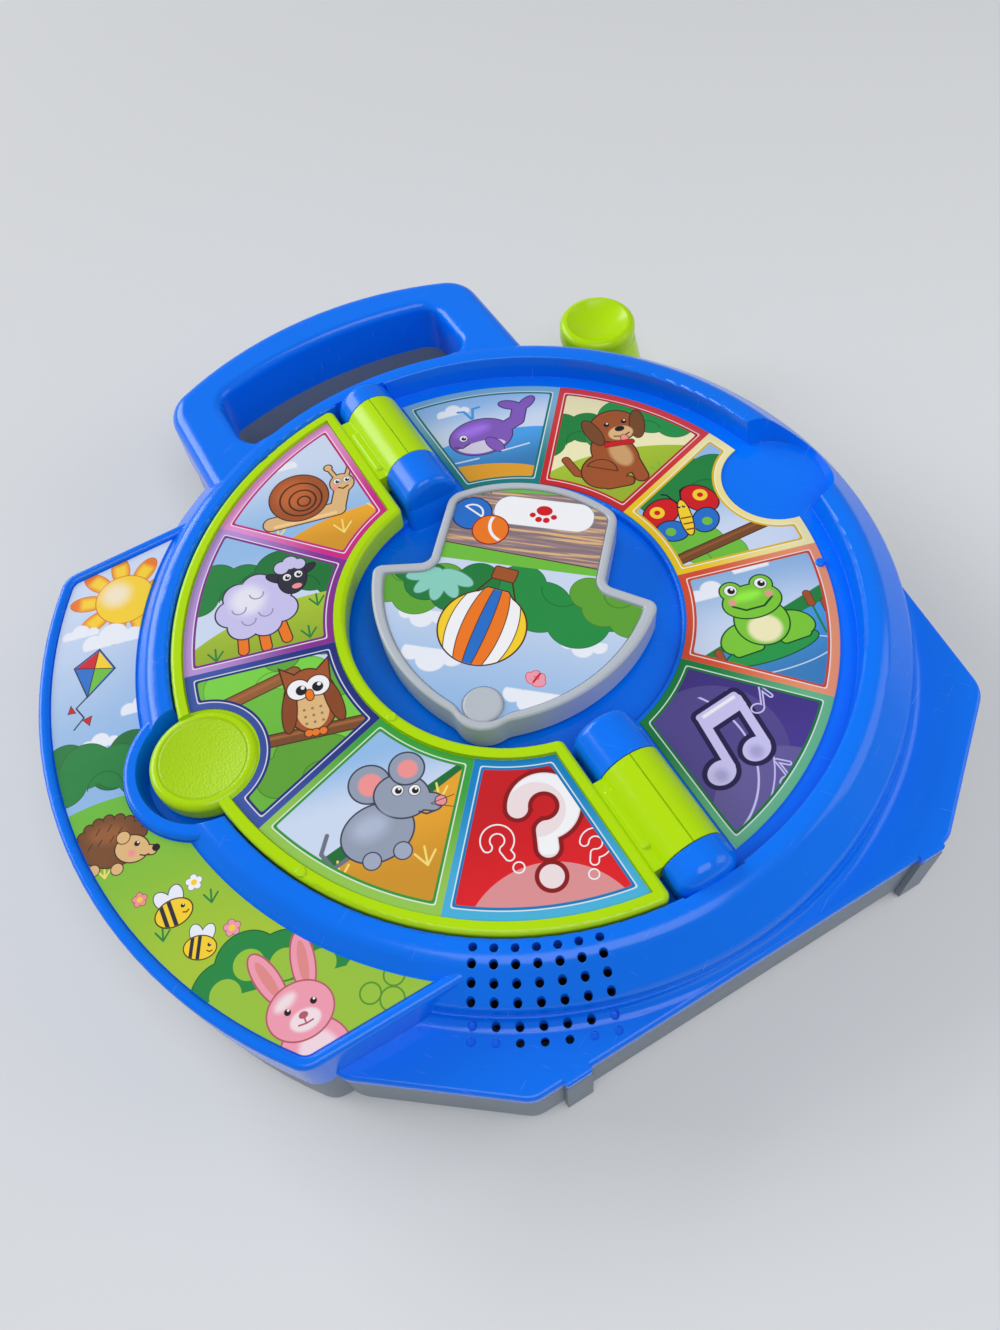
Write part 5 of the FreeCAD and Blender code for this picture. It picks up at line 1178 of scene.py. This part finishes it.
def cross_head_screw(shape):
    """A pan head with a cross recess in its lower face, and its shank above."""
    bmesh.ops.create_circle(shape, cap_ends=True, segments=48, radius=SCREW_HEAD_R)
    for axis in (Vector((1, 0, 0)), Vector((0, 1, 0))):
        for offset in (-SCREW_SLOT_REACH, -SCREW_SLOT_HALF, SCREW_SLOT_HALF, SCREW_SLOT_REACH):
            geom = shape.verts[:] + shape.edges[:] + shape.faces[:]
            bmesh.ops.bisect_plane(shape, geom=geom, plane_co=axis * offset, plane_no=axis)
    slots = []
    for face in shape.faces:
        x, y = (abs(part) for part in face.calc_center_median()[:2])
        if min(x, y) < SCREW_SLOT_HALF and max(x, y) < SCREW_SLOT_REACH:
            slots.append(face)
    rim = [edge for edge in shape.edges if edge.is_boundary]
    for rise, width in ((SCREW_HEAD_TALL, 1.0), (0.0, SCREW_R / SCREW_HEAD_R),
                        (SCREW_LENGTH - SCREW_TIP, 1.0), (SCREW_TIP, SCREW_TIP_SHARE)):
        grown = bmesh.ops.extrude_edge_only(shape, edges=rim)["geom"]
        verts = only(bmesh.types.BMVert, grown)
        rim = only(bmesh.types.BMEdge, grown)
        bmesh.ops.translate(shape, verts=verts, vec=(0.0, 0.0, rise))
        bmesh.ops.scale(shape, verts=verts, vec=(width, width, 1.0))
    bmesh.ops.holes_fill(shape, edges=rim)
    sunk = bmesh.ops.extrude_face_region(shape, geom=slots)["geom"]
    bmesh.ops.delete(shape, geom=slots, context="FACES_ONLY")
    floor = only(bmesh.types.BMVert, sunk)
    bmesh.ops.translate(shape, verts=floor, vec=(0.0, 0.0, SCREW_SLOT_DEEP))
    bmesh.ops.scale(shape, verts=floor, vec=(SCREW_SLOT_DRAFT, SCREW_SLOT_DRAFT, 1.0))
    edges = [edge for edge in shape.edges
             if all(vert.co.z < SCREW_SLOT_DEEP / 2 and vert.co.xy.length > SCREW_RIM_FROM
                    for vert in edge.verts)]
    bmesh.ops.bevel(shape, geom=edges, offset=SCREW_HEAD_ROUND, affect="EDGES", segments=3, profile=0.5,
                    material=-1)


def build_screws():
    shape = bmesh.new()
    cross_head_screw(shape)
    first = shape.verts[:] + shape.edges[:] + shape.faces[:]
    places = screw_points()
    for count, (x, y) in enumerate(places):
        copied = first
        if count < len(places) - 1:
            copied = bmesh.ops.duplicate(shape, geom=first)["geom"]
        verts = only(bmesh.types.BMVert, copied)
        turned = turn_about(SCREW_TURN * count, "Z")
        bmesh.ops.rotate(shape, verts=verts, cent=(0.0, 0.0, 0.0), matrix=turned)
        bmesh.ops.translate(shape, verts=verts, vec=(x, y, SCREW_HEAD_LOW))
    return shape


def build_spring():
    """The coils of the return spring, wound by a spin that climbs."""
    shape = bmesh.new()
    verts = bmesh.ops.create_circle(shape, segments=12, radius=SPRING_WIRE_R)["verts"]
    bmesh.ops.rotate(shape, verts=verts, cent=(0.0, 0.0, 0.0), matrix=turn_about(90.0, "X"))
    bmesh.ops.translate(shape, verts=verts, vec=(SPRING_R, 0.0, SPRING_LOW))
    bmesh.ops.spin(shape, geom=shape.verts[:] + shape.edges[:], cent=(0.0, 0.0, 0.0), axis=(0.0, 0.0, 1.0),
                   dvec=(0.0, 0.0, SPRING_PITCH / SPRING_STEPS), angle=SPRING_TURNS * 2.0 * math.pi,
                   steps=SPRING_TURNS * SPRING_STEPS, use_merge=False)
    bmesh.ops.holes_fill(shape, edges=[edge for edge in shape.edges if edge.is_boundary])
    return shape


def build_nub():
    """The low catch in the right recess that the turned page settles on."""
    shape = bmesh.new()
    bmesh.ops.create_circle(shape, cap_ends=True, segments=32, radius=NUB_R)
    grown = bmesh.ops.extrude_face_region(shape, geom=shape.faces[:])["geom"]
    bmesh.ops.translate(shape, verts=only(bmesh.types.BMVert, grown), vec=(0.0, 0.0, NUB_TALL))
    edges = [edge for edge in shape.edges if all(vert.co.z > NUB_TALL / 2 for vert in edge.verts)]
    bmesh.ops.bevel(shape, geom=edges, offset=NUB_ROUND, affect="EDGES", segments=4, profile=0.5,
                    material=-1)
    bmesh.ops.translate(shape, verts=shape.verts[:], vec=CATCH_NUB)
    return shape


# ------------------------------------------------------------------ operators
class SPINNERTOY_OT_housings(bpy.types.Operator):
    """Blue front shell with its catch nub, grey rear shell, battery door, base pads and screws"""
    bl_idname = "spinner_toy.housings"
    bl_label = "Housings"

    def execute(self, context):
        blue = moulded("blue_moulding", tuple(colours().blue), finish().gloss)
        grey = moulded("grey_moulding", tuple(colours().rear), GREY_ROUGH, GREY_GRAIN, 0.5 * MM)
        steel = metal("screw_steel", SCREW_STEEL, 0.3)
        dress(blue, "front_housing")
        dress(grey, "rear_housing", "battery_door", "base_pads")
        dress(steel, "door_screw")
        fit("catch_nub", build_nub(), blue, "housing", "blue_plastic")
        fit("cross_head_screws", build_screws(), steel, "housing", "steel", "housing_screws")
        return {"FINISHED"}


class SPINNERTOY_OT_page(bpy.types.Operator):
    """Lime flip page with its hinge caps and steel pins"""
    bl_idname = "spinner_toy.page"
    bl_label = "Flip page"

    def execute(self, context):
        lime = moulded("lime_moulding", tuple(colours().lime), finish().gloss + 0.04, dish=TAB_DISH)
        dress(lime, "page_front_shell", "page_back_shell", "page_hinge_caps")
        dress(metal("pin_steel", PIN_STEEL, 0.25), "hinge_pins")
        return {"FINISHED"}


class SPINNERTOY_OT_pictures(bpy.types.Operator):
    """Printed labels of the page, the recess halves and the wing"""
    bl_idname = "spinner_toy.pictures"
    bl_label = "Pictures"

    def execute(self, context):
        page = (PAGE_LABEL, PAGE_HINGE_EDGE, PAGE_NOTCH_R)
        recess = (RECESS_LABEL, RECESS_HINGE_EDGE)
        for name, *settings in (("page_front", -1, 1.0, *page, FIRST_PAGE),
                                ("page_back", 1, -1.0, *page, SECOND_PAGE),
                                ("right_recess", 1, 1.0, *recess, RIGHT_POCKET_NOTCH_R, FIRST_RECESS),
                                ("left_recess", -1, 1.0, *recess, LEFT_POCKET_NOTCH_R, SECOND_RECESS)):
            dress(half_label(name + "_print", *settings), name + "_picture")
        dress(wing_label("wing_print"), "wing_picture")
        return {"FINISHED"}


class SPINNERTOY_OT_pointer(bpy.types.Operator):
    """Grey arrow with its label, retaining wheel, screw, wiper and the board that it sweeps"""
    bl_idname = "spinner_toy.pointer"
    bl_label = "Pointer"

    def execute(self, context):
        dress(moulded("pointer_moulding", tuple(colours().pointer), POINTER_ROUGH), "pointer_body")
        dress(pointer_label("pointer_print"), "pointer_picture")
        dress(moulded("wheel_moulding", srgb(*WHEEL_BLACK), 0.4, 0.03), "pointer_wheel")
        dress(metal("pointer_screw_steel", SCREW_STEEL, 0.3), "pointer_screw")
        dress(metal("wiper_brass", WIPER_BRASS, 0.25, 0.01), "contact_wiper")
        dress(printed_board("position_board_laminate", srgb(150, 106, 56), True), "position_board")
        return {"FINISHED"}


class SPINNERTOY_OT_lever(bpy.types.Operator):
    """Lime lever knob and arm with washer, screw and coiled return spring"""
    bl_idname = "spinner_toy.lever"
    bl_label = "Lever"

    def execute(self, context):
        lime = moulded("lever_moulding", tuple(colours().lime), finish().gloss + 0.06)
        dress(lime, "lever_knob", "lever_arm")
        dress(metal("washer_steel", WASHER_STEEL, 0.22), "lever_washer", "lever_screw")
        wire = metal("spring_wire", SPRING_STEEL, 0.28, 0.02)
        fit("coiled_spring", build_spring(), wire, "housing", "spring_steel", "lever_return_spring")
        return {"FINISHED"}


class SPINNERTOY_OT_electrics(bpy.types.Operator):
    """Cells, contacts, circuit board and speaker inside the shells"""
    bl_idname = "spinner_toy.electrics"
    bl_label = "Electrics"

    def execute(self, context):
        dress(cell_wrap(), "batteries")
        dress(metal("contact_spring_steel", CONTACT_STEEL, 0.2, 0.01), "battery_contacts")
        dress(printed_board("sound_board_laminate", srgb(28, 104, 58), False), "circuit_board")
        dress(board_parts(), "board_components")
        dress(speaker_finish(), "speaker_driver")
        return {"FINISHED"}


def area_lamp(name, place, target, size, power):
    data = bpy.data.lights.new(name, "AREA")
    data.shape = "RECTANGLE"
    data.size, data.size_y = size
    data.energy = power * finish().lamp
    lamp = bpy.data.objects.new(name, data)
    lamp.location = place
    lamp.rotation_euler = (Vector(target) - Vector(place)).to_track_quat("-Z", "Y").to_euler()
    bpy.context.scene.collection.objects.link(lamp)


class SPINNERTOY_OT_stage(bpy.types.Operator):
    """Pale floor, soft studio lamps, world and camera"""
    bl_idname = "spinner_toy.stage"
    bl_label = "Stage"

    def execute(self, context):
        scene = context.scene
        mesh = bpy.data.meshes.new("floor")
        shape = bmesh.new()
        bmesh.ops.create_circle(shape, cap_ends=True, segments=96, radius=FLOOR_R)
        shape.to_mesh(mesh)
        shape.free()
        floor = bpy.data.objects.new("floor", mesh)
        floor.location.z = FLOOR_BELOW
        scene.collection.objects.link(floor)
        tone = tuple(colours().floor)
        r = Recipe("floor_paper")
        paper = r.mix(r.noise(r.place(), 3.0), toned(tone, PAPER_TINT), tone)
        mesh.materials.append(r.surface(Base_Color=paper, Roughness=0.85, Specular_IOR_Level=0.2))

        for name, settings in LAMPS.items():
            area_lamp(name, *settings)
        world = bpy.data.worlds.new("studio")
        world.use_nodes = True
        background = world.node_tree.nodes["Background"]
        background.inputs["Color"].default_value = (*tone, 1.0)
        background.inputs["Strength"].default_value = WORLD_LEVEL
        scene.world = world

        data = bpy.data.cameras.new("camera")
        data.sensor_width = CAMERA_SENSOR
        data.lens = CAMERA_LENS
        data.clip_start = 0.01
        camera = bpy.data.objects.new("camera", data)
        tilt = turn_about(CAMERA_YAW, "Y") @ turn_about(CAMERA_PITCH, "X")
        camera.rotation_euler = (turn_about(CAMERA_TURN, "Z") @ tilt).to_euler()
        camera.location = CAMERA_PLACE
        scene.collection.objects.link(camera)
        scene.camera = camera
        scene.view_settings.view_transform = "Standard"
        return {"FINISHED"}


class SPINNERTOY_PT_panel(bpy.types.Panel):
    """Lists the toy's pieces in the sidebar"""
    bl_idname = "SPINNERTOY_PT_panel"
    bl_label = "Spinner Toy"
    bl_space_type = "VIEW_3D"
    bl_region_type = "UI"
    bl_category = "Spinner Toy"

    def draw(self, context):
        layout = self.layout
        for settings in (context.scene.spinner_toy_colours, context.scene.spinner_toy_finish):
            for name in settings.bl_rna.properties.keys():
                if name not in ("rna_type", "name"):
                    layout.prop(settings, name)
        for operator in OPERATORS:
            layout.operator(operator.bl_idname)


OPERATORS = (
    SPINNERTOY_OT_housings,
    SPINNERTOY_OT_page,
    SPINNERTOY_OT_pictures,
    SPINNERTOY_OT_pointer,
    SPINNERTOY_OT_lever,
    SPINNERTOY_OT_electrics,
    SPINNERTOY_OT_stage,
)
CLASSES = (SpinnerToyColours, SpinnerToyFinish) + OPERATORS + (SPINNERTOY_PT_panel,)


def register():
    for cls in CLASSES:
        bpy.utils.register_class(cls)
    bpy.types.Scene.spinner_toy_colours = PointerProperty(type=SpinnerToyColours)
    bpy.types.Scene.spinner_toy_finish = PointerProperty(type=SpinnerToyFinish)


def unregister():
    del bpy.types.Scene.spinner_toy_finish
    del bpy.types.Scene.spinner_toy_colours
    for cls in reversed(CLASSES):
        bpy.utils.unregister_class(cls)


def main():
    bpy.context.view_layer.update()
    register()
    for operator in OPERATORS:
        group, name = operator.bl_idname.split(".")
        getattr(getattr(bpy.ops, group), name)()


if __name__ == "__main__":
    main()
